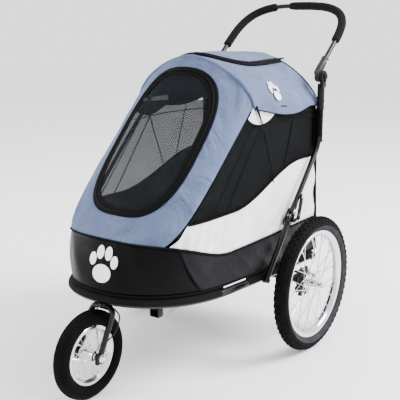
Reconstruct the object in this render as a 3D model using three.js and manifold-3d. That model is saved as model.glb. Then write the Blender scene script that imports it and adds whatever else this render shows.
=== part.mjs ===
// A three-wheeled pet jogger: a steel loop frame carrying a sewn cabin, two 16 inch rear wheels,
// a swivelling front wheel, and a push frame that folds forward over the cabin.
// Units are millimetres, +Z is up and the front of the stroller points to -Y.
// Pieces are drawn with the rear axle at Y = 0; the whole group is then moved to its middle.
import * as THREE from "three";
import { mergeVertices } from "three/addons/utils/BufferGeometryUtils.js";
import Module from "manifold-3d";

const wasm = await Module();
wasm.setup();

// ---------------------------------------------------------------- driving dimensions
const GAP = 0.4; // clearance between pieces that touch on the real object

const REAR_WHEEL_R = 200;
const REAR_TYRE_R = 22; // radius of the tyre's round section
const REAR_RIM_R = 160;
const HALF_TRACK = 307;
const AXLE_Z = REAR_WHEEL_R;

const FRONT_WHEEL_R = 118;
const FRONT_TYRE_R = 20;
const FRONT_RIM_R = 80;
const FRONT_AXLE_Y = -625;
const KINGPIN_Y = -566;

const TUBE_R = 11; // lower frame
const LOOP_FRONT_Z = 262;
const LOOP_SLOPE = 0.05; // the loop drops towards the rear
const NOSE_Y = -590; // foremost point of the loop's centre line
const NOSE_MID_Y = -314; // where the rounded nose becomes straight sides
const REAR_Y = 190; // back of the cabin

const CABIN_HALF = 200; // half width of the cabin's upper walls
const TUB_EXTRA = 20; // how much wider the tub is at its foot
const CLOTH = 4; // thickness of the sewn walls

const SEAM_FOOT = { y: -514, z: 398 }; // front panel's side seam, at the tub
const SEAM_HEAD = { y: -170, z: 728 }; // and at the canopy hoop
const ROOF_Z = 860;
const HOOP_Y = -185;

const FOLD = { x: 226, y: 8, z: 403 }; // fold pivot in the side braces
const POST_X = 216;
const POST_Y = 184;
const TILT_Z = 788; // handle tilt axis
const HANDLE_LEAN = THREE.MathUtils.degToRad(40); // above the horizontal
const HANDLE_REACH = 324; // from the tilt axis to the top of the bow
const HANDLE_HALF = 196;
const BOW_START = 134; // reach at which the straight arms turn into the bow
const BOW_POWER = 3.1;
const GRIP_R = 13.5;

// The front tyre and the handle's grip are the two ends of the stroller.
const FRONT_END = FRONT_AXLE_Y - FRONT_WHEEL_R;
const REAR_END = POST_Y + HANDLE_REACH * Math.cos(HANDLE_LEAN) + GRIP_R;
const MIDDLE_Y = (FRONT_END + REAR_END) / 2;

// ---------------------------------------------------------------- materials
const paint = (color, roughness, metalness) => ({ color, roughness, metalness });
const BLACK_TUBE = paint(0x111113, 0.25, 0.6);
const BLACK_PLASTIC = paint(0x1c1c1f, 0.5, 0);
const GREY_PLASTIC = paint(0x4b4750, 0.5, 0);
const FOAM = paint(0x18181a, 0.95, 0);
const RUBBER = paint(0x1d1c1e, 0.85, 0);
const CHROME = paint(0xc8c8cc, 0.15, 1);
const STEEL = paint(0x8f9093, 0.4, 0.9);
const BLUE_CLOTH = paint(0x9aa8c0, 0.9, 0);
const PALE_CLOTH = paint(0xd8d2d6, 0.9, 0);
const DARK_CLOTH = paint(0x2a2830, 0.9, 0);
const MESH_CLOTH = paint(0x22282c, 0.8, 0);
const PAD_CLOTH = paint(0x5b5654, 0.95, 0);

// ---------------------------------------------------------------- solids
const vec = (x, y, z) => new THREE.Vector3(x, y, z);
const mix = THREE.MathUtils.lerp;
const smooth = THREE.MathUtils.smoothstep;

function toSolid(geometry) {
  const bare = geometry.clone();
  bare.deleteAttribute("normal");
  bare.deleteAttribute("uv");
  const merged = mergeVertices(bare, 1e-3);
  const index = merged.index.array;
  const mesh = new wasm.Mesh({
    numProp: 3,
    vertProperties: new Float32Array(merged.attributes.position.array),
    triVerts: new Uint32Array(index),
  });
  return new wasm.Manifold(mesh);
}

function toGeometry(solid) {
  const mesh = solid.getMesh();
  const geometry = new THREE.BufferGeometry();
  geometry.setAttribute("position", new THREE.BufferAttribute(mesh.vertProperties, 3));
  geometry.setIndex(new THREE.BufferAttribute(mesh.triVerts, 1));
  return geometry;
}

const join = (...parts) => toGeometry(parts.map(toSolid).reduce((a, b) => a.add(b)));
const cut = (part, ...tools) =>
  toGeometry(tools.map(toSolid).reduce((a, b) => a.subtract(b), toSolid(part)));

// A straight round bar between two points.
function rod(from, to, radius, sides = 10) {
  const along = to.clone().sub(from);
  const bar = new THREE.CylinderGeometry(radius, radius, along.length(), sides);
  const turn = new THREE.Quaternion().setFromUnitVectors(vec(0, 1, 0), along.clone().normalize());
  bar.applyQuaternion(turn);
  const middle = from.clone().add(to).multiplyScalar(0.5);
  return bar.translate(middle.x, middle.y, middle.z);
}

function box(x, y, z, width, depth, height) {
  return new THREE.BoxGeometry(width, depth, height).translate(x, y, z);
}

// A tube bent along straight runs with rounded corners.
function bentTube(points, bend, radius, steps, sides = 8) {
  const path = new THREE.CurvePath();
  let start = points[0];
  for (let i = 1; i < points.length - 1; i++) {
    const before = points[i - 1].clone().sub(points[i]).setLength(bend);
    const after = points[i + 1].clone().sub(points[i]).setLength(bend);
    const enter = points[i].clone().add(before);
    const leave = points[i].clone().add(after);
    path.add(new THREE.LineCurve3(start, enter));
    path.add(new THREE.QuadraticBezierCurve3(enter, points[i], leave));
    start = leave;
  }
  path.add(new THREE.LineCurve3(start, points.at(-1)));
  return alongPath(path, radius, steps, sides);
}

function alongPath(path, radius, steps, sides) {
  const section = new THREE.Shape(
    Array.from({ length: sides }, (_, i) => {
      const angle = (i / sides) * 2 * Math.PI;
      return new THREE.Vector2(radius * Math.cos(angle), radius * Math.sin(angle));
    }),
  );
  return new THREE.ExtrudeGeometry(section, { steps, extrudePath: path });
}

// A profile of [radius, x] pairs turned about an axis along X.
function turned(profile, segments) {
  const points = profile.map(([radius, x]) => new THREE.Vector2(radius, x));
  return new THREE.LatheGeometry(points, segments).rotateZ(-Math.PI / 2);
}

// A sewn wall: outer(u, v) and inner(u, v) are its two faces, closed along their borders.
function slab(outer, inner, nu, nv) {
  const positions = [];
  const triangles = [];
  const row = nv + 1;
  const layer = (nu + 1) * row;
  for (const face of [outer, inner]) {
    for (let i = 0; i <= nu; i++) {
      for (let j = 0; j <= nv; j++) positions.push(...face(i / nu, j / nv).toArray());
    }
  }
  const quad = (a, b, c, d) => triangles.push(a, b, c, a, c, d);
  const at = (i, j) => i * row + j;
  for (let i = 0; i < nu; i++) {
    for (let j = 0; j < nv; j++) {
      quad(at(i, j), at(i + 1, j), at(i + 1, j + 1), at(i, j + 1));
      quad(layer + at(i, j), layer + at(i, j + 1), layer + at(i + 1, j + 1), layer + at(i + 1, j));
    }
    quad(at(i + 1, 0), at(i, 0), layer + at(i, 0), layer + at(i + 1, 0));
    quad(at(i, nv), at(i + 1, nv), layer + at(i + 1, nv), layer + at(i, nv));
  }
  for (let j = 0; j < nv; j++) {
    quad(at(0, j), at(0, j + 1), layer + at(0, j + 1), layer + at(0, j));
    quad(at(nu, j + 1), at(nu, j), layer + at(nu, j), layer + at(nu, j + 1));
  }
  const geometry = new THREE.BufferGeometry();
  geometry.setAttribute("position", new THREE.Float32BufferAttribute(positions, 3));
  geometry.setIndex(triangles);
  return facingOut(geometry);
}

// Turns every face round when the closed surface encloses a negative volume.
function facingOut(geometry) {
  const p = geometry.attributes.position;
  const index = geometry.index.array;
  const corner = (i) => vec(p.getX(index[i]), p.getY(index[i]), p.getZ(index[i]));
  let volume = 0;
  for (let i = 0; i < index.length; i += 3) {
    volume += corner(i).dot(corner(i + 1).cross(corner(i + 2)));
  }
  if (volume < 0) {
    for (let i = 0; i < index.length; i += 3) {
      const second = index[i + 1];
      index[i + 1] = index[i + 2];
      index[i + 2] = second;
    }
  }
  return geometry;
}

const mirrored = (geometry) => {
  const copy = (geometry.index ? geometry : mergeVertices(geometry)).clone();
  copy.applyMatrix4(new THREE.Matrix4().makeScale(-1, 1, 1));
  return facingOut(copy);
};

// ---------------------------------------------------------------- the cabin's form
const loopZ = (y) => LOOP_FRONT_Z - LOOP_SLOPE * (y - NOSE_Y);

// Rounded nose: a superellipse that is fuller at the tub's rim than at the loop.
const LOOP_POWER = 2.2;
const RIM_POWER = 3.3;
const RIM_DEPTH = 238;
const noseDepth = (rise) => mix(NOSE_MID_Y - NOSE_Y, RIM_DEPTH, rise);
const nosePower = (rise) => mix(LOOP_POWER, RIM_POWER, rise);
const TUB_LIFT = 19; // height of the tub's lower edge over the loop's centre line

// Half width of the walls at height z, before the nose narrows them.
function wallHalf(y, z) {
  const foot = 1 - smooth(z, 255, 520);
  return CABIN_HALF + (TUB_EXTRA - rearTaper(y)) * foot;
}

// The tub and the loop draw in a little towards the back.
function rearTaper(y) {
  return 12 * smooth(y, -200, REAR_Y);
}

function wallX(y, z) {
  const into = Math.max(0, NOSE_MID_Y - y) / noseDepth(1);
  const power = nosePower(1);
  return wallHalf(y, z) * Math.pow(Math.max(0, 1 - Math.pow(into, power)), 1 / power);
}

// Upper edge of the tub, from the nose back along the side.
const tubRim = (y) => 349 + 61 * smooth(-y, 290, 560);
// Upper edge of the pale side band.
const bandRim = (y) => 455 + 92 * smooth(y, -260, 100);
const seamY = (z) => mix(SEAM_FOOT.y, SEAM_HEAD.y, (z - SEAM_FOOT.z) / (SEAM_HEAD.z - SEAM_FOOT.z));

// A point of the tub's wall. station 0 is the front, 1 the end of the nose and 2 the back corner.
function tubPoint(station, rise, inset) {
  const angle = (Math.min(station, 1) * Math.PI) / 2;
  const power = 2 / nosePower(rise);
  let y = NOSE_MID_Y - (noseDepth(rise) - inset) * Math.pow(Math.max(0, Math.cos(angle)), power);
  if (station > 1) y = mix(NOSE_MID_Y, REAR_Y - 1, station - 1);
  const z = mix(loopZ(y) + TUB_LIFT, tubRim(y), rise);
  const x = (wallHalf(y, z) - inset) * Math.pow(Math.max(0, Math.sin(angle)), power);
  return vec(x, y, z);
}

// The nose panel ends, and the side panel starts, on a slanted seam.
const noseEnd = (rise) => mix(0.78, 0.62, rise);

function tubNose() {
  const face = (inset) => (u, v) => {
    const side = 2 * u - 1;
    const point = tubPoint(Math.abs(side) * noseEnd(v), v, inset);
    point.x *= Math.sign(side);
    return point;
  };
  return slab(face(0), face(CLOTH), 20, 2);
}

function tubSide() {
  const seamGap = 0.006;
  const face = (inset) => (u, v) => tubPoint(mix(noseEnd(v) + seamGap, 2, u), v, inset);
  return slab(face(0), face(CLOTH), 14, 2);
}

function tubRear() {
  const wall = (y) => (u, v) => {
    const z = mix(loopZ(REAR_Y) + TUB_LIFT, tubRim(REAR_Y) - 1, v);
    return vec((2 * u - 1) * (wallHalf(REAR_Y, z) - 1), y, z);
  };
  return slab(wall(REAR_Y + CLOTH), wall(REAR_Y), 2, 3);
}

// A side wall between two edge heights, from the slanted front seam to the back.
function sideWall(low, high, inset, thickness) {
  const face = (depth) => (u, v) => {
    let y = mix(SEAM_FOOT.y, REAR_Y - 1, u);
    let z = 0;
    for (let pass = 0; pass < 4; pass++) {
      z = mix(low(y), high(y), v);
      y = mix(seamY(z) + 2.5, REAR_Y - 1, u);
    }
    return vec(wallX(y, z) - inset - depth, y, z);
  };
  return slab(face(0), face(thickness), 16, 2);
}

const sideBand = () => sideWall((y) => tubRim(y) + 3, bandRim, 0, CLOTH);
const windowRim = (y) => mix(716, 694, smooth(y, -170, REAR_Y));
const sideWindow = () => sideWall((y) => bandRim(y) + 1, windowRim, 1.5, CLOTH - 1);

// The canopy's arched section at the hoop and at the back.
function archZ(s, back) {
  const base = mix(SEAM_HEAD.z + 2, 702, back);
  const power = mix(1.6, 1.5, back);
  const crown = mix(ROOF_Z, 848, back);
  return base + (crown - base) * Math.pow(Math.max(0, 1 - Math.pow(Math.abs(s), power)), 1 / power);
}

const hoopFaceY = (s) => mix(HOOP_Y, SEAM_HEAD.y, s * s);

// The blue front panel is ruled from the tub's rim up to the hoop.
function frontPoint(s, rise) {
  const z = mix(SEAM_FOOT.z, SEAM_HEAD.z, rise);
  const edgeX = wallX(seamY(z), z);
  const footX = s * wallX(SEAM_FOOT.y, SEAM_FOOT.z);
  const footHalf = wallHalf(SEAM_FOOT.y, SEAM_FOOT.z);
  const power = nosePower(1);
  const bow = Math.pow(1 - Math.pow(Math.abs(footX) / footHalf, power), 1 / power);
  const foot = vec(footX, NOSE_MID_Y - noseDepth(1) * bow, 0);
  foot.z = tubRim(foot.y) + 1;
  const y = mix(foot.y, hoopFaceY(s), rise);
  return vec(s * edgeX, y, mix(foot.z, archZ(s, 0), rise));
}

function frontPanel() {
  const face = (depth) => (u, v) => {
    const s = Math.sin((u - 0.5) * Math.PI);
    const point = frontPoint(s, v);
    point.x *= 1 - depth / CABIN_HALF;
    point.y += depth;
    return point;
  };
  const sheet = slab(face(0), face(CLOTH + 1), 20, 5);
  return cut(sheet, doorBlock(0));
}

// The mesh door fills an oval in the front panel; the oval leans back with the panel.
const DOOR_LEAN = THREE.MathUtils.degToRad(52);
const DOOR_MIDDLE = vec(0, -352, 641);
const DOOR_HALF_WIDTH = 146;
const DOOR_HALF_HEIGHT = 234;
const DOOR_POWER = 3;

// The oval's outline as a thick block, to cut the opening and to trim the door.
function doorBlock(shrink) {
  const count = 32;
  const depth = 120;
  const outline = Array.from({ length: count }, (_, i) => {
    const angle = (i / count) * 2 * Math.PI;
    const c = Math.cos(angle);
    const s = Math.sin(angle);
    const power = 2 / DOOR_POWER;
    return new THREE.Vector2(
      Math.sign(c) * (DOOR_HALF_WIDTH - shrink) * Math.pow(Math.abs(c), power),
      Math.sign(s) * (DOOR_HALF_HEIGHT - shrink) * Math.pow(Math.abs(s), power),
    );
  });
  const block = new THREE.ExtrudeGeometry(new THREE.Shape(outline), { depth, bevelEnabled: false });
  block.translate(0, 0, -depth / 2);
  block.rotateX(DOOR_LEAN);
  return block.translate(DOOR_MIDDLE.x, DOOR_MIDDLE.y, DOOR_MIDDLE.z);
}

function meshDoor() {
  const face = (depth) => (u, v) => {
    const s = (u - 0.5) * 1.9;
    const point = frontPoint(s, mix(0.04, 0.985, v));
    point.y += depth;
    return point;
  };
  const sheet = slab(face(0.8), face(CLOTH - 0.4), 14, 5);
  return toGeometry(toSolid(sheet).intersect(toSolid(doorBlock(1.5))));
}

// Roof and side flaps in one sheet, from the hoop back to the posts.
const ARCH_SHARE = 0.64; // share of the sheet's width that is arched; the rest hangs as flaps
const ROOF_HALF = CABIN_HALF + 4;
const flapRim = (y) => 728 - 40 * Math.sin(Math.PI * smooth(y, -260, 330));

function roof() {
  const face = (depth) => (u, v) => {
    const across = Math.abs(2 * u - 1);
    const side = Math.sign(2 * u - 1);
    const s = Math.sin((Math.min(1, across / ARCH_SHARE) * Math.PI) / 2);
    const y = mix(hoopFaceY(s) + CLOTH + 2.5, REAR_Y, v);
    const eaves = archZ(1, v) - depth;
    const hang = Math.max(0, across - ARCH_SHARE) / (1 - ARCH_SHARE);
    const arch = archZ(s, v) - depth;
    const z = hang > 0 ? mix(eaves, Math.min(flapRim(y), eaves - 4), hang) : arch;
    return vec(side * (ROOF_HALF - depth) * s, y, z);
  };
  return slab(face(0), face(3), 26, 4);
}

function rearPanel() {
  const count = 20;
  const half = CABIN_HALF - CLOTH - 2;
  const foot = tubRim(REAR_Y) + 1;
  const outline = [new THREE.Vector2(half, foot)];
  for (let i = 0; i <= count; i++) {
    const s = Math.cos((i / count) * Math.PI);
    outline.push(new THREE.Vector2(half * s, archZ(s, 1) - 6));
  }
  outline.push(new THREE.Vector2(-half, foot));
  const sheet = new THREE.ExtrudeGeometry(new THREE.Shape(outline), { depth: 3, bevelEnabled: false });
  return sheet.rotateX(Math.PI / 2).translate(0, REAR_Y - 2, 0);
}

// Floor parts share the tub's plan, pulled in from its walls.
function floorSheet(inset, low, high, margin) {
  const face = (lift) => (u, v) => {
    const point = tubPoint(2 * u, 0, inset);
    const y = Math.min(point.y, REAR_Y - margin);
    return vec(point.x * (2 * v - 1), y, loopZ(y) + lift);
  };
  return slab(face(high), face(low), 16, 2);
}

const BOARD_FOOT = 21; // heights over the loop's centre line
const BOARD_TOP = 27;
const PAD_TOP = 50;
const floorBoard = () => floorSheet(CLOTH + 3, BOARD_FOOT, BOARD_TOP, 4);
const floorPad = () => floorSheet(CLOTH + 14, BOARD_TOP + 1, PAD_TOP, 8);

// ---------------------------------------------------------------- lower frame
const loopX = (y) => {
  const into = Math.max(0, NOSE_MID_Y - y) / (NOSE_MID_Y - NOSE_Y);
  const half = CABIN_HALF + TUB_EXTRA - rearTaper(y);
  return half * Math.pow(Math.max(0, 1 - Math.pow(into, LOOP_POWER)), 1 / LOOP_POWER);
};
const LOOP_END_Y = 150;

function frameLoop() {
  const points = [];
  const sideSteps = 7;
  const noseSteps = 9;
  for (let i = 0; i < sideSteps; i++) {
    const y = mix(LOOP_END_Y, NOSE_MID_Y, i / sideSteps);
    points.push(vec(loopX(y), y, loopZ(y)));
  }
  for (let i = 0; i <= noseSteps; i++) {
    const angle = (1 - i / noseSteps) * (Math.PI / 2);
    const y = NOSE_MID_Y - (NOSE_MID_Y - NOSE_Y) * Math.pow(Math.cos(angle), 2 / LOOP_POWER);
    points.push(vec(i === noseSteps ? 0 : loopX(y), y, loopZ(y)));
  }
  const other = points.slice(0, -1).reverse();
  const path = new THREE.CatmullRomCurve3([...points, ...other.map((p) => vec(-p.x, p.y, p.z))]);
  return alongPath(path, TUBE_R, 40, 8);
}

function rearCrossTube() {
  const y = LOOP_END_Y + TUBE_R + GAP;
  const reach = loopX(y) + TUBE_R;
  return rod(vec(-reach, y, loopZ(y)), vec(reach, y, loopZ(y)), TUBE_R);
}

// Square receiver for a tow bar, welded below the cross rail on the stroller's left.
const RECEIVER = { x: 129, y: -515, z: 230, width: 26, height: 27, wall: 2.5 };
// The cross rail carries the floor board.
const RAIL = { y: -330, depth: 34, foot: RECEIVER.z + RECEIVER.height / 2 + GAP };

function floorRail() {
  const reach = loopX(RAIL.y - RAIL.depth / 2) - TUBE_R - 1;
  const top = loopZ(RAIL.y + RAIL.depth / 2) + BOARD_FOOT - GAP;
  return box(0, RAIL.y, (RAIL.foot + top) / 2, 2 * reach, RAIL.depth, top - RAIL.foot);
}

function towReceiver() {
  const { x, z, wall } = RECEIVER;
  const length = RAIL.y + RAIL.depth / 2 - RECEIVER.y;
  const hollowLength = 90;
  const outside = box(x, RECEIVER.y + length / 2, z, RECEIVER.width, length, RECEIVER.height);
  const hollow = box(
    x,
    RECEIVER.y + hollowLength / 2 - 5,
    z,
    RECEIVER.width - 2 * wall,
    hollowLength + 10,
    RECEIVER.height - 2 * wall,
  );
  return cut(outside, hollow);
}

// Foot brake: a bar behind the axle with a pedal, and a pawl beside each brake ring.
const BRAKE = { y: 66, z: AXLE_Z, r: 5, rest: THREE.MathUtils.degToRad(40) };

// The rear axle beam, with two saddles that carry the loop and two lugs that carry the brake bar.
const BEAM_R = 9;
const BEAM_HALF = 268;
function axleBeam() {
  const bar = rod(vec(-BEAM_HALF, 0, AXLE_Z), vec(BEAM_HALF, 0, AXLE_Z), BEAM_R, 12);
  const top = loopZ(0) - TUBE_R - 1.5;
  const parts = [bar];
  for (const side of [1, -1]) {
    parts.push(box(side * loopX(0), 0, (top + AXLE_Z) / 2, 26, 40, top - AXLE_Z));
    const lugX = side * 240;
    parts.push(hullBar(vec(lugX, 0, AXLE_Z), vec(lugX, BRAKE.y, BRAKE.z), 9, 6));
  }
  const reach = BEAM_HALF - 10;
  const bore = rod(vec(-reach, BRAKE.y, BRAKE.z), vec(reach, BRAKE.y, BRAKE.z), BRAKE.r + GAP);
  return cut(join(...parts), bore);
}

// The pedal is level when the brake is off, with the pawls hanging clear of the rings.
function brakeBar() {
  const half = 280;
  const bar = rod(vec(-half, BRAKE.y, BRAKE.z), vec(half, BRAKE.y, BRAKE.z), BRAKE.r, 10);
  const pedal = box(0, BRAKE.y + 32, BRAKE.z, 84, 60, 5);
  const pawl = (side) =>
    box(side * RING_X, -12, 0, 7, 24, 5)
      .rotateX(BRAKE.rest)
      .translate(0, BRAKE.y, BRAKE.z);
  return join(bar, pedal, pawl(1), pawl(-1));
}

// The quick-release axle that each rear wheel turns on, drilled for its release button.
const PIN_R = 6;
const PIN_END = 333;
const STEM_R = 2.5;
function axlePin() {
  const from = BEAM_HALF + GAP;
  const bore = STEM_R + 0.5;
  const floor = PIN_END - 14;
  const profile = [[0, from], [PIN_R, from], [PIN_R, PIN_END], [bore, PIN_END], [bore, floor], [0, floor]];
  return turned(profile, 12);
}

const BUTTON_FACE = 345;
function releaseButton() {
  const inner = PIN_END + 3.5;
  const stem = PIN_END - 8;
  const shoulder = BUTTON_FACE - 3;
  const head = [[9, inner], [9, shoulder], [5, BUTTON_FACE], [0, BUTTON_FACE]];
  return turned([[0, stem], [STEM_R, stem], [STEM_R, inner], ...head], 14);
}

const BRACE_R = 8;
const BRACE_FOOT = { x: 240, y: -150, z: loopZ(-150) - 4 };
const FOLD_POINT = vec(FOLD.x, FOLD.y, FOLD.z);
const PLATE_X = 8.5; // offset of the stub's two plates from the fold pivot's middle
const CATCH_BELOW = 20; // the hook's stud sits this far down the stub from the fold pivot
const CATCH_R = 3.5;

// Lower half of the side brace, ending in a two-plate fork for the fold pin.
function braceStub() {
  const foot = vec(BRACE_FOOT.x, BRACE_FOOT.y, BRACE_FOOT.z);
  const down = foot.clone().sub(FOLD_POINT).normalize();
  const end = FOLD_POINT.clone().addScaledVector(down, 24);
  const bar = rod(foot, end, BRACE_R);
  const lug = rod(foot.clone().setX(loopX(foot.y) + TUBE_R + GAP), foot, BRACE_R);
  const tail = FOLD_POINT.clone().addScaledVector(down, 38);
  const plate = (x) => hullBar(tail.clone().setX(x), FOLD_POINT.clone().setX(x), 10, 3);
  const web = box(FOLD.x, end.y, end.z, 18, 12, 12);
  const stud = FOLD_POINT.clone().addScaledVector(down, CATCH_BELOW);
  const studEnd = HOOK.x + 4;
  const studBar = rod(stud.clone().setX(FOLD.x + PLATE_X), stud.clone().setX(studEnd), CATCH_R);
  const fork = join(bar, lug, plate(FOLD.x - PLATE_X), plate(FOLD.x + PLATE_X), web, studBar);
  return cut(fork, foldBore());
}

// A flat link with round ends, thick along X.
function hullBar(from, to, radius, thickness) {
  const length = Math.hypot(to.y - from.y, to.z - from.z);
  const angle = Math.atan2(to.z - from.z, to.y - from.y);
  const shape = new THREE.Shape();
  shape.absarc(0, 0, radius, Math.PI / 2, (3 * Math.PI) / 2, false);
  shape.absarc(length, 0, radius, -Math.PI / 2, Math.PI / 2, false);
  const options = { depth: thickness, bevelEnabled: false, curveSegments: 5 };
  const link = new THREE.ExtrudeGeometry(shape, options);
  link.translate(0, 0, -thickness / 2);
  // shape x runs along the link, shape y stays in the Y-Z plane, and depth becomes X
  link.applyMatrix4(new THREE.Matrix4().makeBasis(vec(0, 1, 0), vec(0, 0, 1), vec(1, 0, 0)));
  link.rotateX(angle);
  return link.translate(from.x, from.y, from.z);
}

const FOLD_PIN_R = 4;
const foldBore = () =>
  rod(vec(FOLD.x - 20, FOLD.y, FOLD.z), vec(FOLD.x + 20, FOLD.y, FOLD.z), FOLD_PIN_R + GAP);

function foldPin() {
  const shank = FOLD_PIN_R;
  const outer = FOLD.x + 10.5;
  const inner = FOLD.x - 10.5;
  const profile = [[0, inner], [shank, inner], [shank, outer], [8, outer], [7, outer + 3], [0, outer + 4]];
  return turned(profile, 12).translate(0, FOLD.y, FOLD.z);
}

// ---------------------------------------------------------------- push frame
// Upper half of the brace, bent into the upright post, with the pin that the fold hook turns on.
const KNEE_Z = 585;
function sideTube() {
  const knee = vec(POST_X, POST_Y, KNEE_Z);
  const along = knee.clone().sub(FOLD_POINT).normalize();
  const start = FOLD_POINT.clone().addScaledVector(along, 18);
  const top = vec(POST_X, POST_Y, TILT_Z - 62);
  const bar = bentTube([start, knee, top], 26, BRACE_R, 16);
  const eye = hullBar(FOLD_POINT, start.clone().addScaledVector(along, 6).setX(FOLD.x), 9, 10);
  const hookPin = rod(vec(FOLD.x - 2, HOOK.y, HOOK.z), vec(HOOK.x + 4, HOOK.y, HOOK.z), HOOK.pin);
  return cut(join(bar, eye, hookPin), foldBore());
}

// Hook that hangs from the upper brace and reaches under the stud on the stub.
const HOOK = { x: FOLD.x + 12, y: 46, z: 443, pin: 3.5, thickness: 4 };
function foldHook() {
  const pivot = vec(HOOK.x, HOOK.y, HOOK.z);
  const elbow = vec(HOOK.x, HOOK.y - 18, HOOK.z - 60);
  const toe = vec(HOOK.x, HOOK.y - 46, HOOK.z - 66);
  const shank = hullBar(pivot, elbow, 8, HOOK.thickness);
  const finger = hullBar(elbow, toe, 4, HOOK.thickness);
  const bore = rod(vec(HOOK.x - 5, HOOK.y, HOOK.z), vec(HOOK.x + 5, HOOK.y, HOOK.z), HOOK.pin + GAP);
  return cut(join(shank, finger), bore);
}

// Outer half of the tilt joint: a sleeve on the post and a round cheek on the axis.
const TILT_POINT = vec(POST_X, POST_Y, TILT_Z);
const BUTTON_R = 9;
const CHEEK_R = 18;
const SLEEVE_FOOT = TILT_Z - 100;
const besideTilt = (dx) => TILT_POINT.clone().setX(POST_X + dx);

function tiltBase() {
  const at = (z) => vec(POST_X, POST_Y, z);
  const sleeve = rod(at(SLEEVE_FOOT), at(TILT_Z - 22), 11, 12);
  const cheek = rod(besideTilt(0.5), besideTilt(12), CHEEK_R, 16);
  const neck = box(POST_X + 6.25, POST_Y, TILT_Z - 20, 11.5, 24, 26);
  const bore = rod(at(SLEEVE_FOOT - 5), at(TILT_Z - 60), BRACE_R + 1);
  const shaft = rod(besideTilt(-5), besideTilt(20), BUTTON_R + GAP, 14);
  return cut(join(sleeve, cheek, neck), bore, shaft);
}

function handlePoint(x, reach) {
  return vec(x, POST_Y + reach * Math.cos(HANDLE_LEAN), TILT_Z + reach * Math.sin(HANDLE_LEAN));
}

// Inner half of the tilt joint, a moulded sleeve on the handle's arm.
const ARM_R = 7.5;
const ARM_START = 31;
function tiltSleeve() {
  const arm = (reach) => handlePoint(HANDLE_HALF, reach);
  const sleeve = rod(arm(12), arm(78), 11.5, 12);
  const cheek = rod(besideTilt(-16), besideTilt(0), CHEEK_R, 16);
  const bore = rod(arm(ARM_START - 1), arm(90), ARM_R + 1);
  const socket = rod(besideTilt(-9), besideTilt(5), BUTTON_R + GAP, 14);
  return cut(join(sleeve, cheek), bore, socket);
}

// Round push button on the tilt axis, seen on the outside of the joint.
function tiltButton() {
  const inner = POST_X - 4;
  const face = POST_X + 18;
  const profile = [[0, inner], [BUTTON_R, inner], [BUTTON_R, face - 2], [BUTTON_R - 2, face], [0, face]];
  return turned(profile, 14).translate(0, POST_Y, TILT_Z);
}

// The handle's bow is half a superellipse that carries on from the two straight arms.
function bowPoint(angle) {
  const across = Math.cos(angle);
  const x = HANDLE_HALF * Math.sign(across) * Math.pow(Math.abs(across), 2 / BOW_POWER);
  const rise = Math.pow(Math.abs(Math.sin(angle)), 2 / BOW_POWER);
  return handlePoint(x, mix(BOW_START, HANDLE_REACH, rise));
}

const bowAngle = (x) => Math.acos(Math.sign(x) * Math.pow(Math.abs(x) / HANDLE_HALF, BOW_POWER / 2));

// A stretch of the centre line: from reach on the +X arm, over the bow as far as x.
function handleStretch(reach, x, steps) {
  const points = [handlePoint(HANDLE_HALF, reach)];
  if (reach < BOW_START) points.push(bowPoint(0));
  for (let i = 1; i <= steps; i++) points.push(bowPoint((bowAngle(x) * i) / steps));
  return points;
}

const flipped = (points) => points.map((p) => vec(-p.x, p.y, p.z));

function handleBar() {
  const half = handleStretch(ARM_START, 0, 8);
  const other = flipped(half).reverse().slice(1);
  return alongPath(new THREE.CatmullRomCurve3([...half, ...other]), ARM_R, 40, 8);
}

// A foam grip pushed onto the bow. The left one is longer, so the bare stretch is off centre.
const GRIP_STARTS = { left: 155, right: 123 };
const GRIP_ENDS = { left: -41, right: 92 };
function grip(side) {
  const points = handleStretch(GRIP_STARTS[side], GRIP_ENDS[side], 10);
  const path = new THREE.CatmullRomCurve3(points);
  const outside = alongPath(path, GRIP_R, 16, 10);
  const start = points[0].clone().lerp(points[1], -0.3);
  const end = points.at(-1).clone().lerp(points.at(-2), -0.3);
  const longer = new THREE.CatmullRomCurve3([start, ...points, end]);
  return cut(outside, alongPath(longer, ARM_R + 1.4, 20, 8));
}

// ---------------------------------------------------------------- canopy hoop
const HOOP_R = 5.5;
const HOOP_PIVOT = { x: 158, y: -478, z: 410 };
const HOOP_ELBOW = vec(176, -330, 548);
const HOOP_HALF = 184;
function canopyHoop() {
  const pivot = vec(HOOP_PIVOT.x, HOOP_PIVOT.y, HOOP_PIVOT.z);
  const points = [pivot, HOOP_ELBOW];
  const count = 14;
  for (let i = 0; i <= count; i++) {
    const angle = (i / count) * Math.PI;
    const s = Math.cos(angle);
    points.push(vec(HOOP_HALF * s, hoopFaceY(s) + 16, archZ(s, 0) - 14));
  }
  points.push(...flipped([HOOP_ELBOW, pivot]));
  return alongPath(new THREE.CatmullRomCurve3(points), HOOP_R, 40, 6);
}

// Moulded socket on the tub's wall that the foot of the hoop turns in.
function hoopSocket() {
  const { x, y, z } = HOOP_PIVOT;
  const inner = x - 11;
  const outer = wallX(y - 14, z) - CLOTH - 4;
  const cup = box((inner + outer) / 2, y, z - 4, outer - inner, 26, 30);
  const room = box(x, y + 6, z + 6, 14, 40, 34);
  return cut(cup, room);
}

// ---------------------------------------------------------------- front wheel
const FORK_X = 37;
const FORK_R = 8;
const CROWN_Z = 233;
const STEERER_R = 6;
const FRONT_AXLE_R = 4;
const onKingpin = (z) => vec(0, KINGPIN_Y, z);

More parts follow.
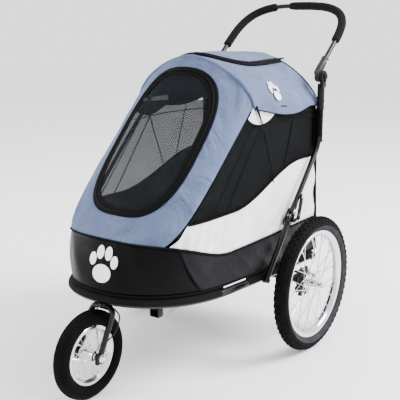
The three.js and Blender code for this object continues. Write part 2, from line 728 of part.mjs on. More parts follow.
function fork() {
  const dropout = vec(FORK_X, FRONT_AXLE_Y - 3, FRONT_WHEEL_R - 8);
  const shoulder = vec(FORK_X, KINGPIN_Y, CROWN_Z);
  const left = [dropout, shoulder];
  const blades = bentTube([...left, ...flipped(left).reverse()], 22, FORK_R, 30);
  const steerer = rod(onKingpin(CROWN_Z), onKingpin(LOOP_FRONT_Z + 14), STEERER_R);
  const beyond = vec(FORK_X + 20, FRONT_AXLE_Y, FRONT_WHEEL_R);
  const bore = rod(beyond.clone().setX(-beyond.x), beyond, FRONT_AXLE_R + GAP);
  return cut(join(blades, steerer), bore);
}

// Head bearing housing behind the front of the loop.
function headHousing() {
  const from = CROWN_Z + FORK_R + 1.5;
  const body = rod(onKingpin(from), onKingpin(LOOP_FRONT_Z + 17), 12, 16);
  const bore = rod(onKingpin(from - 5), onKingpin(LOOP_FRONT_Z + 14.5), STEERER_R + GAP);
  return cut(body, bore);
}

// Through bolt with a domed nut at each end.
function frontAxle() {
  const seat = FORK_X + FORK_R + 1.5;
  const nut = [[FRONT_AXLE_R, seat], [9, seat], [7, seat + 5.5], [0, seat + 6.5]];
  const otherNut = nut.map(([radius, x]) => [radius, -x]).reverse();
  return turned([...otherNut, ...nut], 12).translate(0, FRONT_AXLE_Y, FRONT_WHEEL_R);
}

// ---------------------------------------------------------------- wheels
function tyre(wheelR, sectionR, segments) {
  const count = 8;
  const centre = wheelR - sectionR;
  const profile = [];
  for (let i = 0; i <= count; i++) {
    const angle = (i / count) * 2 * Math.PI;
    profile.push([centre + sectionR * Math.cos(angle), sectionR * Math.sin(angle)]);
  }
  return turned(profile, segments);
}

// A box-section rim with a shallow well; the tyre's foot sits 0.4 mm off it.
function rim(outerR, halfWidth, depth, segments) {
  const floor = outerR - 7;
  const profile = [
    [outerR - depth, -4],
    [floor - 2, -halfWidth],
    [outerR, -halfWidth],
    [floor, -halfWidth + 3],
    [floor, halfWidth - 3],
    [outerR, halfWidth],
    [floor - 2, halfWidth],
    [outerR - depth, 4],
    [outerR - depth, -4],
  ];
  return turned(profile, segments);
}

// Hub shell with two flanges and the wire spokes laced to them, each spoke ending at the rim.
function spokedHub(half, bodyR, flangeR, boreR, tipR, spokes) {
  const shell = turned(
    [
      [boreR, -half],
      [flangeR, -half],
      [flangeR, -half + 6],
      [bodyR, -half + 8],
      [bodyR, half - 8],
      [flangeR, half - 6],
      [flangeR, half],
      [boreR, half],
      [boreR, -half],
    ],
    10,
  );
  const wires = [];
  for (let i = 0; i < spokes; i++) {
    const side = i % 2 ? 1 : -1;
    const lean = i % 4 < 2 ? 1 : -1;
    const tip = ((i + 0.5) / spokes) * 2 * Math.PI;
    const root = tip + lean * 0.9;
    const x = side * (half - 4.5);
    const from = vec(x, (flangeR - 2) * Math.cos(root), (flangeR - 2) * Math.sin(root));
    const to = vec(side * 2, tipR * Math.cos(tip), tipR * Math.sin(tip));
    wires.push(rod(from, to, 1.3, 4));
  }
  return join(shell, ...wires);
}

// Toothed brake ring on the inner end of a rear hub.
const RING_X = 276;
const TEETH = 8;
function brakeRing() {
  const shape = new THREE.Shape();
  const notch = THREE.MathUtils.degToRad(17);
  for (let i = 0; i < TEETH; i++) {
    const middle = (i / TEETH) * 2 * Math.PI;
    const next = middle + (2 * Math.PI) / TEETH;
    shape.absarc(0, 0, 37, middle - notch, middle + notch, false);
    shape.absarc(0, 0, 46, middle + notch + 0.02, next - notch - 0.02, false);
  }
  shape.closePath();
  const bore = new THREE.Path();
  bore.absarc(0, 0, BEAM_R + 1, 0, 2 * Math.PI, true);
  shape.holes.push(bore);
  const options = { depth: 7, bevelEnabled: false, curveSegments: 2 };
  const ring = new THREE.ExtrudeGeometry(shape, options);
  ring.applyMatrix4(new THREE.Matrix4().makeBasis(vec(0, 1, 0), vec(0, 0, 1), vec(1, 0, 0)));
  return ring.translate(RING_X - 3.5, 0, AXLE_Z);
}

// ---------------------------------------------------------------- assembly
const stroller = new THREE.Group();
stroller.position.y = -MIDDLE_Y;
const group = new THREE.Group();
group.add(stroller);

function add(name, geometry, finish) {
  const mesh = new THREE.Mesh(geometry, new THREE.MeshStandardMaterial(finish));
  mesh.name = name;
  stroller.add(mesh);
  return mesh;
}

// The stroller's left is +X; the right side is its mirror image.
function addPair(name, geometry, finish) {
  add("left_" + name, geometry, finish);
  add("right_" + name, mirrored(geometry), finish);
}

add("frame_loop", frameLoop(), BLACK_TUBE);
add("rear_cross_tube", rearCrossTube(), BLACK_TUBE);
add("floor_rail", floorRail(), BLACK_TUBE);
add("axle_beam", axleBeam(), BLACK_TUBE);
add("tow_receiver", towReceiver(), STEEL);
add("head_housing", headHousing(), BLACK_TUBE);
addPair("brace_stub", braceStub(), BLACK_TUBE);
addPair("fold_pin", foldPin(), STEEL);
addPair("axle_pin", axlePin().translate(0, 0, AXLE_Z), STEEL);
addPair("release_button", releaseButton().translate(0, 0, AXLE_Z), CHROME);
add("brake_bar", brakeBar(), BLACK_PLASTIC);

add("floor_board", floorBoard(), BLACK_PLASTIC);
add("floor_pad", floorPad(), PAD_CLOTH);
add("tub_nose", tubNose(), DARK_CLOTH);
addPair("tub_side", tubSide(), DARK_CLOTH);
add("tub_rear", tubRear(), DARK_CLOTH);
addPair("side_band", sideBand(), PALE_CLOTH);
addPair("side_window", sideWindow(), MESH_CLOTH);
add("front_panel", frontPanel(), BLUE_CLOTH);
add("mesh_door", meshDoor(), MESH_CLOTH);
add("roof_panel", roof(), BLUE_CLOTH);
add("rear_panel", rearPanel(), MESH_CLOTH);
addPair("hoop_socket", hoopSocket(), BLACK_PLASTIC);
add("canopy_hoop", canopyHoop(), STEEL);

addPair("side_tube", sideTube(), BLACK_TUBE);
addPair("tilt_base", tiltBase(), BLACK_PLASTIC);
addPair("fold_hook", foldHook(), BLACK_PLASTIC);
add("handle_bar", handleBar(), BLACK_TUBE);
add("left_grip", grip("left"), FOAM);
add("right_grip", mirrored(grip("right")), FOAM);
addPair("tilt_sleeve", tiltSleeve(), GREY_PLASTIC);
addPair("tilt_button", tiltButton(), BLACK_PLASTIC);

add("fork", fork(), BLACK_TUBE);
add("front_axle", frontAxle(), CHROME);
const frontWheel = [
  ["tyre", tyre(FRONT_WHEEL_R, FRONT_TYRE_R, 28), RUBBER],
  ["rim", rim(FRONT_RIM_R, 11, 14, 24), CHROME],
  ["spoked_hub", spokedHub(26, 8, 15, FRONT_AXLE_R + GAP, FRONT_RIM_R - 15.2, 10), CHROME],
];
for (const [name, geometry, finish] of frontWheel) {
  add("front_" + name, geometry.translate(0, FRONT_AXLE_Y, FRONT_WHEEL_R), finish);
}

const rearWheel = [
  ["tyre", tyre(REAR_WHEEL_R, REAR_TYRE_R, 36), RUBBER],
  ["rim", rim(REAR_RIM_R, 12, 17, 32), CHROME],
  ["spoked_hub", spokedHub(23, 10, 20, PIN_R + GAP, REAR_RIM_R - 18.5, 12), CHROME],
];
for (const [name, geometry, finish] of rearWheel) {
  addPair(name, geometry.translate(HALF_TRACK, 0, AXLE_Z), finish);
}
addPair("brake_ring", brakeRing(), BLACK_PLASTIC);

export default group;
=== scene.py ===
from math import acos, asin, atan2, cos, pi, radians, sin

import bmesh
import bpy
from mathutils import Matrix, Quaternion, Vector


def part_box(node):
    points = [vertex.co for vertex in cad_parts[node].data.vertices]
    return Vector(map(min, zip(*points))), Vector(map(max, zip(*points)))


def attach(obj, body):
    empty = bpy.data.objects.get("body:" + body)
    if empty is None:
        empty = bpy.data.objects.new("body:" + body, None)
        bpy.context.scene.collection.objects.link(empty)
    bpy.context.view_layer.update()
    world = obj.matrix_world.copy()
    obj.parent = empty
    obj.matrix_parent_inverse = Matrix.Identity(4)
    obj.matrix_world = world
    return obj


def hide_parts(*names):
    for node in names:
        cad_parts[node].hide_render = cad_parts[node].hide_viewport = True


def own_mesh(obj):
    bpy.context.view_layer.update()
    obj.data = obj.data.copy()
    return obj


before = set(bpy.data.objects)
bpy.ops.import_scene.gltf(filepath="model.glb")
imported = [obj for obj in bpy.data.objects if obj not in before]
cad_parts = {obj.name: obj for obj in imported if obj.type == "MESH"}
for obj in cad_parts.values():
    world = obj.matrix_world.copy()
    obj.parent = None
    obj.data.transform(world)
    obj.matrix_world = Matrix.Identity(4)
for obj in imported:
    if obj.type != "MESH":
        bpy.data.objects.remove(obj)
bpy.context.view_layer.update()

# The stroller is drawn in millimetres about its rear axle, with +Z up, the front towards -Y
# and the stroller's own left towards +X. AXLE_Y is where that axle lies in the row frame.
tyre_low, tyre_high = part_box("left_tyre")
AXLE_Y = (tyre_low.y + tyre_high.y) / 2


# ---------------------------------------------------------------- camera
# A long lens from the stroller's front left, a little above the canopy, looking slightly down.
# It stands where a buyer would, about two and a half metres away.
CAMERA_TURN = radians(36.4)
CAMERA_DROP = radians(13.4)
camera = bpy.data.objects.new("camera", bpy.data.cameras.new("camera"))
camera.data.lens = 72
camera.location = (1.369, AXLE_Y - 1.999, 0.985)
camera_back = Vector((sin(CAMERA_TURN) * cos(CAMERA_DROP), -cos(CAMERA_TURN) * cos(CAMERA_DROP), sin(CAMERA_DROP)))
camera.rotation_euler = camera_back.to_track_quat("Z", "Y").to_euler()
bpy.context.collection.objects.link(camera)
bpy.context.scene.camera = camera


# ---------------------------------------------------------------- studio
# A matt white sweep under soft boxes: a large key high on the left and a little
# behind, a low fill on the far side and a weak one in front.
def linear(hex_colour):
    def channel(value):
        value /= 255
        return value / 12.92 if value <= 0.04045 else ((value + 0.055) / 1.055) ** 2.4

    number = int(hex_colour.lstrip("#"), 16)
    return tuple(channel(number >> shift & 255) for shift in (16, 8, 0)) + (1.0,)


def add_node(tree, kind, sockets={}, **settings):
    made = tree.nodes.new("ShaderNode" + kind)
    for name, value in settings.items():
        setattr(made, name, value)
    for name, value in sockets.items():
        if isinstance(value, bpy.types.NodeSocket):
            tree.links.new(value, made.inputs[name])
        else:
            made.inputs[name].default_value = value
    return made


def new_material(name, colour, **values):
    """A principled material in one colour. values are the shader's own sockets, by name."""
    made = bpy.data.materials.new(name)
    made.use_nodes = True
    made.node_tree.nodes.clear()
    sockets = {key.replace("_", " "): value for key, value in values.items()}
    shader = add_node(made.node_tree, "BsdfPrincipled", {"Base Color": linear(colour)} | sockets)
    add_node(made.node_tree, "OutputMaterial", {"Surface": shader.outputs[0]})
    return made, made.node_tree, shader


# Painted board: an even pale grey with a barely seen mottle, 200 mm across.
board_paint, tree, shader = new_material("painted_board", "#F6F6F7", Roughness=0.9)
place = add_node(tree, "TexCoord").outputs["Object"]
mottle = add_node(tree, "TexNoise", {"Vector": place, "Scale": 5.0}).outputs["Fac"]
shade = add_node(tree, "MixRGB", {"Fac": mottle, "Color1": linear("#F5F5F6"), "Color2": linear("#F9F9FA")})
tree.links.new(shade.outputs[0], shader.inputs["Base Color"])

bm = bmesh.new()
bmesh.ops.create_grid(bm, x_segments=1, y_segments=1, size=9)
studio_floor = bpy.data.objects.new("studio_floor", bpy.data.meshes.new("studio_floor"))
bm.to_mesh(studio_floor.data)
bm.free()
studio_floor.data.materials.append(board_paint)
bpy.context.collection.objects.link(studio_floor)

world = bpy.data.worlds.new("studio")
world.use_nodes = True
world.node_tree.nodes["Background"].inputs["Color"].default_value = linear("#F4F5F7")
world.node_tree.nodes["Background"].inputs["Strength"].default_value = 2.1
bpy.context.scene.world = world

for name, place, size, power in (
    ("key", (2.7, 1.7, 3.1), 2.0, 430),
    ("fill", (-3.2, -1.4, 1.4), 1.4, 95),
    ("front", (1.2, -3.6, 2.2), 1.6, 10),
):
    lamp = bpy.data.objects.new(name, bpy.data.lights.new(name, "AREA"))
    lamp.data.size = size
    lamp.data.energy = power
    lamp.location = place
    lamp.rotation_euler = (Vector(place) - Vector((0, 0, 0.5))).to_track_quat("Z", "Y").to_euler()
    bpy.context.collection.objects.link(lamp)


# ---------------------------------------------------------------- lower frame
# One 22 mm steel tube bent to a long loop under the cabin, with a cross tube closing it at the
# back. Cut, bent, welded and powder coated gloss black.
NOSE_Y, NOSE_MID_Y, REAR_Y = -590, -314, 190
TUBE_R = 11


def mix(a, b, share):
    return a + (b - a) * share


def smooth(value, low, high):
    share = min(1, max(0, (value - low) / (high - low)))
    return share * share * (3 - 2 * share)


def loop_z(y):
    return 262 - 0.05 * (y - NOSE_Y)


def rear_taper(y):
    return 12 * smooth(y, -200, REAR_Y)


def loop_x(y):
    into = max(0, NOSE_MID_Y - y) / (NOSE_MID_Y - NOSE_Y)
    return (220 - rear_taper(y)) * max(0, 1 - into**2.2) ** (1 / 2.2)


def both_ways(points):
    """A path on the stroller's left carried over the middle to its mirror image."""
    return points + [Vector((-p.x, p.y, p.z)) for p in reversed(points[:-1])]


def through(points, count):
    """A smooth curve through the points, sampled evenly along its parameter."""
    ends = [points[0] * 2 - points[1]] + list(points) + [points[-1] * 2 - points[-2]]
    curve = []
    for i in range(count + 1):
        spot = i / count * (len(points) - 1)
        k = min(int(spot), len(points) - 2)
        a, b, c, d = ends[k : k + 4]
        t = spot - k
        curve.append(0.5 * (2 * b + (c - a) * t + (2 * a - 5 * b + 4 * c - d) * t**2 + (3 * b - a - 3 * c + d) * t**3))
    return curve


def bent(points, bend, steps=8):
    """Straight runs with a rounded corner at each inner point."""
    path = [points[0]]
    for before, corner, after in zip(points, points[1:], points[2:]):
        enter = corner + (before - corner).normalized() * bend
        leave = corner + (after - corner).normalized() * bend
        for i in range(steps + 1):
            t = i / steps
            path.append(enter * (1 - t) ** 2 + corner * 2 * t * (1 - t) + leave * t**2)
    return path + [points[-1]]


def tube(bm, path, radius, sides=20, flat=1.0, closed=False):
    """Extrudes a ring along the path. radius may be a list, and flat squeezes the ring one way."""
    radii = radius if isinstance(radius, list) else [radius] * len(path)
    ring = bmesh.ops.create_circle(bm, segments=sides, radius=1)["verts"]
    first = loop = list({e for v in ring for e in v.link_edges})
    heading, turn, last = Vector((0, 0, 1)), Quaternion(), Matrix()
    count = len(path)
    for i, point in enumerate(path):
        ahead = path[(i + 1) % count] if closed else path[min(i + 1, count - 1)]
        behind = path[i - 1] if closed or i else path[0]
        new_heading = (ahead - behind).normalized()
        turn = heading.rotation_difference(new_heading) @ turn
        heading = new_heading
        size = Matrix.Diagonal((radii[i] * flat, radii[i], 1, 1))
        pose = Matrix.Translation(point) @ turn.to_matrix().to_4x4() @ size
        if i:
            made = bmesh.ops.extrude_edge_only(bm, edges=loop)["geom"]
            ring = [v for v in made if isinstance(v, bmesh.types.BMVert)]
            loop = [e for e in made if isinstance(e, bmesh.types.BMEdge) and all(v in set(ring) for v in e.verts)]
        bmesh.ops.transform(bm, matrix=pose @ last.inverted(), verts=ring)
        last = pose
    if closed:
        bmesh.ops.bridge_loops(bm, edges=first + loop)
    else:
        bmesh.ops.contextual_create(bm, geom=first)
        bmesh.ops.contextual_create(bm, geom=loop)


def block(bm, middle, size, round_edge=0.0, turn=Matrix()):
    """A box with rounded edges."""
    pose = Matrix.Translation(middle) @ turn @ Matrix.Diagonal((*size, 1))
    made = bmesh.ops.create_cube(bm, size=1, matrix=pose)["verts"]
    if round_edge:
        edges = list({e for v in made for e in v.link_edges})
        bmesh.ops.bevel(bm, geom=edges, offset=round_edge, segments=2, profile=0.5, affect="EDGES", material=-1)


def finish_piece(name, bm, materials, body, stands_for=(), mirror=False, open_sheet=False):
    """Turns a drawing in millimetres into a piece that rides on its body."""
    if mirror:
        bmesh.ops.scale(bm, vec=(-1, 1, 1), verts=bm.verts)
        bmesh.ops.reverse_faces(bm, faces=bm.faces)
    bmesh.ops.remove_doubles(bm, verts=bm.verts, dist=0.01)
    if not open_sheet:
        bmesh.ops.recalc_face_normals(bm, faces=bm.faces)
    for face in bm.faces:
        face.smooth = True
    for edge in bm.edges:
        edge.smooth = len(edge.link_faces) != 2 or edge.calc_face_angle() < radians(38)
    bmesh.ops.transform(bm, matrix=Matrix.Translation((0, AXLE_Y, 0)) @ Matrix.Scale(0.001, 4), verts=bm.verts)
    piece = bpy.data.objects.new(name, bpy.data.meshes.new(name))
    bm.to_mesh(piece.data)
    bm.free()
    for material in materials:
        piece.data.materials.append(material)
    bpy.context.collection.objects.link(piece)
    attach(piece, body)
    if stands_for:
        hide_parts(*stands_for)
    return piece


# Gloss powder coat on steel: near black, with long clean highlights that waver a little over
# an orange peel about 3 mm across.
powder_coat, tree, shader = new_material("black_powder_coat", "#050506", Roughness=0.22, Specular_IOR_Level=0.25)
place = add_node(tree, "TexCoord").outputs["Object"]
peel = add_node(tree, "TexNoise", {"Vector": place, "Scale": 1000 / 3, "Detail": 2.0}).outputs["Fac"]
bump = add_node(tree, "Bump", {"Height": peel, "Distance": 0.0002, "Strength": 0.25})
tree.links.new(bump.outputs[0], shader.inputs["Normal"])
dust = add_node(tree, "TexNoise", {"Vector": place, "Scale": 1000 / 90, "Detail": 4.0}).outputs["Fac"]
gloss = add_node(tree, "MapRange", {"Value": dust, "From Min": 0.3, "From Max": 0.75, "To Min": 0.16, "To Max": 0.36})
tree.links.new(gloss.outputs[0], shader.inputs["Roughness"])

LOOP_END_Y = 150
bm = bmesh.new()
side_run = [Vector((loop_x(y), y, loop_z(y))) for y in (mix(LOOP_END_Y, NOSE_MID_Y, i / 24) for i in range(24))]
nose_run = []
for i in range(33):
    y = NOSE_MID_Y - (NOSE_MID_Y - NOSE_Y) * max(0, cos((1 - i / 32) * pi / 2)) ** (2 / 2.2)
    nose_run.append(Vector((0 if i == 32 else loop_x(y), y, loop_z(y))))
tube(bm, both_ways(side_run + nose_run), TUBE_R, 24)
finish_piece("loop_tube", bm, [powder_coat], "chassis", ["frame_loop"])

bm = bmesh.new()
cross_y = LOOP_END_Y + TUBE_R + 0.4
cross_reach = loop_x(cross_y) + TUBE_R
ends = [-cross_reach, -cross_reach + 2, cross_reach - 2, cross_reach]
tube(bm, [Vector((x, cross_y, loop_z(cross_y))) for x in ends], [TUBE_R - 2, TUBE_R, TUBE_R, TUBE_R - 2], 24)
finish_piece("cross_tube", bm, [powder_coat], "chassis", ["rear_cross_tube"])

RAIL_Y, RAIL_DEPTH, RAIL_FOOT = -330, 34, 243.9
bm = bmesh.new()
rail_top = loop_z(RAIL_Y + RAIL_DEPTH / 2) + 20.6
rail_reach = loop_x(RAIL_Y - RAIL_DEPTH / 2) - TUBE_R - 1
block(bm, (0, RAIL_Y, (RAIL_FOOT + rail_top) / 2), (2 * rail_reach, RAIL_DEPTH, rail_top - RAIL_FOOT), 3)
finish_piece("cross_rail", bm, [powder_coat], "chassis", ["floor_rail"])


# ---------------------------------------------------------------- tow receiver
# A square steel socket for a tow bar, welded under the cross rail on the left side. Zinc plated,
# with a moulded black liner pushed into its open mouth.
zinc_plate, tree, shader = new_material("zinc_plated_steel", "#8F9093", Metallic=1.0, Roughness=0.38)
place = add_node(tree, "TexCoord").outputs["Object"]
# Spangle: patches of slightly different grey about 12 mm across.
spangle = add_node(tree, "TexVoronoi", {"Vector": place, "Scale": 1000 / 12, "Randomness": 1.0}).outputs["Color"]
grey = add_node(tree, "RGBToBW", {"Color": spangle}).outputs[0]
shade = add_node(tree, "MixRGB", {"Fac": grey, "Color1": linear("#7F8084"), "Color2": linear("#A2A3A6")})
tree.links.new(shade.outputs[0], shader.inputs["Base Color"])
gloss = add_node(tree, "MapRange", {"Value": grey, "To Min": 0.3, "To Max": 0.48})
tree.links.new(gloss.outputs[0], shader.inputs["Roughness"])

# Moulded nylon: black, half matt, with a spark-eroded grain drawn at 1.5 mm so that it shows.
black_nylon, tree, shader = new_material("moulded_black_nylon", "#070708", Roughness=0.4, Specular_IOR_Level=0.15)
place = add_node(tree, "TexCoord").outputs["Object"]
grain = add_node(tree, "TexNoise", {"Vector": place, "Scale": 1000 / 1.5, "Detail": 3.0}).outputs["Fac"]
bump = add_node(tree, "Bump", {"Height": grain, "Distance": 0.0003, "Strength": 0.5})
tree.links.new(bump.outputs[0], shader.inputs["Normal"])
rub = add_node(tree, "TexNoise", {"Vector": place, "Scale": 1000 / 25, "Detail": 3.0}).outputs["Fac"]
shade = add_node(tree, "MixRGB", {"Fac": rub, "Color1": linear("#050506"), "Color2": linear("#0C0C0E")})
tree.links.new(shade.outputs[0], shader.inputs["Base Color"])

RECEIVER_X, RECEIVER_Y, RECEIVER_Z = 129, -515, 230
RECEIVER_SIZE, RECEIVER_HEIGHT, RECEIVER_WALL = 26, 27, 2.5
bm = bmesh.new()
receiver_length = RAIL_Y + RAIL_DEPTH / 2 - RECEIVER_Y
middle = (RECEIVER_X, RECEIVER_Y + receiver_length / 2, RECEIVER_Z)
block(bm, middle, (RECEIVER_SIZE, receiver_length, RECEIVER_HEIGHT))
mouth = min(bm.faces, key=lambda f: f.calc_center_median().y)
bmesh.ops.inset_region(bm, faces=[mouth], thickness=RECEIVER_WALL)
pushed = bmesh.ops.extrude_discrete_faces(bm, faces=[mouth])["faces"]
bmesh.ops.translate(bm, vec=(0, 85, 0), verts=list({v for f in pushed for v in f.verts}))
outer = [e for e in bm.edges if len(e.link_faces) == 2 and e.calc_face_angle() > 1 and e.calc_length() > 100]
bmesh.ops.bevel(bm, geom=outer, offset=1.5, segments=3, profile=0.5, affect="EDGES", material=-1)
finish_piece("receiver", bm, [zinc_plate], "chassis", ["tow_receiver"])

bm = bmesh.new()
for x, z, wide, high in ((12.6, 0, 1.6, 26.4), (-12.6, 0, 1.6, 26.4), (0, 13, 26.4, 1.6), (0, -13, 26.4, 1.6)):
    block(bm, (RECEIVER_X + x, RECEIVER_Y + 9, RECEIVER_Z + z), (wide + 1, 20, high + 1), 0.4)
finish_piece("receiver_collar", bm, [black_nylon], "chassis")


# ---------------------------------------------------------------- head housing and front fork
# A turned bearing housing is welded behind the nose of the loop. The fork is one steel tube bent
# over the wheel, with a steerer welded to its crown, so that the front wheel trails and swivels.
KINGPIN_Y, CROWN_Z = -566, 233
FRONT_AXLE_Y, FRONT_WHEEL_R = -625, 118


def lathe(bm, profile, place, axis="X", segments=32):
    """Spins a profile of (radius, distance) pairs about an axis through place."""
    turn = {"X": Matrix.Rotation(radians(90), 4, "Y"), "Y": Matrix.Rotation(radians(-90), 4, "X"), "Z": Matrix()}[axis]
    chain = [bm.verts.new((radius, 0, along)) for radius, along in profile]
    edges = [bm.edges.new(pair) for pair in zip(chain, chain[1:])]
    made = bmesh.ops.spin(bm, geom=chain + edges, cent=(0, 0, 0), axis=(0, 0, 1), dvec=(0, 0, 0),
                          angle=2 * pi, steps=segments, use_merge=True, use_duplicate=False)
    found, fresh = set(chain), list(chain)
    while fresh:
        fresh = [w for v in fresh for e in v.link_edges for w in e.verts if w not in found]
        found.update(fresh)
    bmesh.ops.transform(bm, matrix=Matrix.Translation(place) @ turn, verts=list(found))
    return made


bm = bmesh.new()
housing = [(0, 242.5), (10.5, 242.5), (12, 244), (12, 248), (11, 249), (11, 270), (12, 271), (12, 276), (10, 279),
           (0, 279)]
lathe(bm, housing, (0, KINGPIN_Y, 0), "Z")
finish_piece("bearing_housing", bm, [powder_coat], "chassis", ["head_housing"])

FORK_X, FORK_R = 37, 8
bm = bmesh.new()
dropout = Vector((FORK_X, FRONT_AXLE_Y - 3, FRONT_WHEEL_R - 8))
shoulder = Vector((FORK_X, KINGPIN_Y, CROWN_Z))
blade = bent([dropout, shoulder, Vector((-FORK_X, KINGPIN_Y, CROWN_Z)), Vector((-FORK_X, dropout.y, dropout.z))],
             22, 10)
tube(bm, blade, FORK_R, 20)
tube(bm, [Vector((0, KINGPIN_Y, z)) for z in (CROWN_Z, 262)], 6, 20)
lathe(bm, [(0, 236), (11, 236), (11, 240.5), (0, 240.5)], (0, KINGPIN_Y, 0), "Z")
# The curved wire stay that braces the two blades over the tyre.
stay = [Vector((FORK_X + 6, FRONT_AXLE_Y + 22, 156)), Vector((FORK_X + 8, FRONT_AXLE_Y + 50, 172)),
        Vector((FORK_X + 4, KINGPIN_Y + 16, 205)), Vector((FORK_X - 6, KINGPIN_Y + 8, 230))]
for side in (1, -1):
    tube(bm, through([Vector((side * p.x, p.y, p.z)) for p in stay], 14), 2, 10)
    # Flattened dropout plate and its rivet.
    block(bm, (side * FORK_X, FRONT_AXLE_Y - 2, FRONT_WHEEL_R - 2), (12, 24, 30), 4)
finish_piece("front_fork", bm, [powder_coat], "fork_swivel", ["fork"])

# Bright chrome plate: mirror smooth, with a hairline polish 2 mm apart that breaks the glare.
chrome, tree, shader = new_material("chrome_plated_steel", "#D3D3D6", Metallic=1.0, Roughness=0.14)
place = add_node(tree, "TexCoord").outputs["Object"]
polish = add_node(tree, "TexNoise", {"Vector": place, "Scale": 1000 / 2, "Detail": 3.0}).outputs["Fac"]
gloss = add_node(tree, "MapRange", {"Value": polish, "To Min": 0.08, "To Max": 0.26})
tree.links.new(gloss.outputs[0], shader.inputs["Roughness"])

bm = bmesh.new()
front_hub_place = (0, FRONT_AXLE_Y, FRONT_WHEEL_R)
bolt = [(0, -53), (7, -52), (9, -46.5), (4, -46.5), (4, 46.5), (9, 46.5), (7, 52), (0, 53)]
lathe(bm, bolt, front_hub_place, "X", 24)
for side in (1, -1):
    nut = [(4, side * 45.2), (10.5, side * 45.2), (10.5, side * 46.6), (4, side * 46.6)]
    lathe(bm, nut, front_hub_place, "X", 24)
finish_piece("front_bolt", bm, [chrome], "fork_swivel", ["front_axle"])


# ---------------------------------------------------------------- wheels
# Pressed steel rims with crossed wire spokes laced to a turned hub. The rear tyres are 16 inch
# knobbly trail tyres and the front one is a smooth balloon tyre, both in black rubber.
REAR_WHEEL_R, HALF_TRACK = 200, 307
REAR_PLACE = (HALF_TRACK, 0, REAR_WHEEL_R)


def rubber(name, high, low, grit_mm):
    """Moulded tyre rubber: matt charcoal, dusty in the hollows, with a fine grit."""
    made, tree, shader = new_material(name, high, Roughness=0.75, Specular_IOR_Level=0.05)
    place = add_node(tree, "TexCoord").outputs["Object"]
    grit = add_node(tree, "TexNoise", {"Vector": place, "Scale": 1000 / grit_mm, "Detail": 4.0}).outputs["Fac"]
    bump = add_node(tree, "Bump", {"Height": grit, "Distance": 0.0006, "Strength": 0.6})
    tree.links.new(bump.outputs[0], shader.inputs["Normal"])
    dust = add_node(tree, "TexNoise", {"Vector": place, "Scale": 1000 / 30, "Detail": 4.0}).outputs["Fac"]
    spread = add_node(tree, "MapRange", {"Value": dust, "From Min": 0.35, "From Max": 0.7}).outputs[0]
    shade = add_node(tree, "MixRGB", {"Fac": spread, "Color1": linear(low), "Color2": linear(high)})
    tree.links.new(shade.outputs[0], shader.inputs["Base Color"])
    return made


tread_rubber = rubber("tread_rubber", "#0E0D0E", "#060606", 2.5)
sidewall_rubber = rubber("sidewall_rubber", "#333336", "#262629", 4)
balloon_rubber = rubber("balloon_tyre_rubber", "#060607", "#030303", 4)


def tyre_body(bm, wheel_r, section_r, place, segments, squash=1.0):
    centre = wheel_r - section_r
    ring = [(centre + section_r * cos(i / 28 * 2 * pi), squash * section_r * sin(i / 28 * 2 * pi)) for i in range(29)]
    lathe(bm, ring, place, "X", segments)


def knobs(bm, wheel_r, place):
    """Three staggered rows of small rubber blocks round the tread, and a bar on each shoulder."""
    around = 60
    for i in range(around):
        for tilt, shift, size in ((0, 0.0, (9, 12, 5)), (34, 0.5, (8, 10, 5)), (-34, 0.5, (8, 10, 5)),
                                  (66, 0.0, (7, 13, 5)), (-66, 0.0, (7, 13, 5))):
            angle = (i + shift) / around * 2 * pi
            section = 22 - 2.6
            pose = (Matrix.Translation(place) @ Matrix.Rotation(angle, 4, "X")
                    @ Matrix.Translation((0, 0, wheel_r - 22))
                    @ Matrix.Rotation(radians(tilt), 4, "Y") @ Matrix.Translation((0, 0, section)))
            made = bmesh.ops.create_cube(bm, size=1, matrix=pose @ Matrix.Diagonal((*size, 1)))["verts"]
            top = [v for v in made if (pose.inverted() @ v.co).z > 0]
            middle = sum((v.co for v in top), Vector()) / 4
            bmesh.ops.scale(bm, vec=(0.8, 0.8, 0.8), space=Matrix.Translation(-middle), verts=top)


def rim_ring(bm, outer, half, depth, place):
    floor = outer - 7
    profile = [(outer - depth, -4), (outer - depth + 4, -half * 0.72), (floor - 1, -half), (outer - 1, -half),
               (outer, -half + 0.8), (outer - 1, -half + 2), (floor, -half + 3), (floor, half - 3),
               (outer - 1, half - 2), (outer, half - 0.8), (outer - 1, half), (floor - 1, half),
               (outer - depth + 4, half * 0.72), (outer - depth, 4), (outer - depth, -4)]
    lathe(bm, profile, place, "X", 96)


def laced_hub(bm, half, body_r, flange_r, bore_r, tip_r, spokes, place):
    shell = [(bore_r, -half), (flange_r - 6, -half), (flange_r - 5, -half + 2), (flange_r, -half + 2.5),
             (flange_r, -half + 5.5), (body_r + 2, -half + 7), (body_r, -half + 11), (body_r, half - 11),
             (body_r + 2, half - 7), (flange_r, half - 5.5), (flange_r, half - 2.5), (flange_r - 5, half - 2),
             (flange_r - 6, half), (bore_r, half), (bore_r, -half)]
    lathe(bm, shell, place, "X", 32)
    middle = Vector(place)
    for i in range(spokes):
        side = 1 if i % 2 else -1
        lean = 1 if i % 4 < 2 else -1
        tip = (i + 0.5) / spokes * 2 * pi
        root = tip + lean * 0.9
        start = middle + Vector((side * (half - 4), (flange_r - 2) * cos(root), (flange_r - 2) * sin(root)))
        end = middle + Vector((side * 2, tip_r * cos(tip), tip_r * sin(tip)))
        nipple = end + (start - end).normalized() * 12
        tube(bm, [start, nipple], 1.15, 8)
        tube(bm, [nipple, end], 2.2, 8)


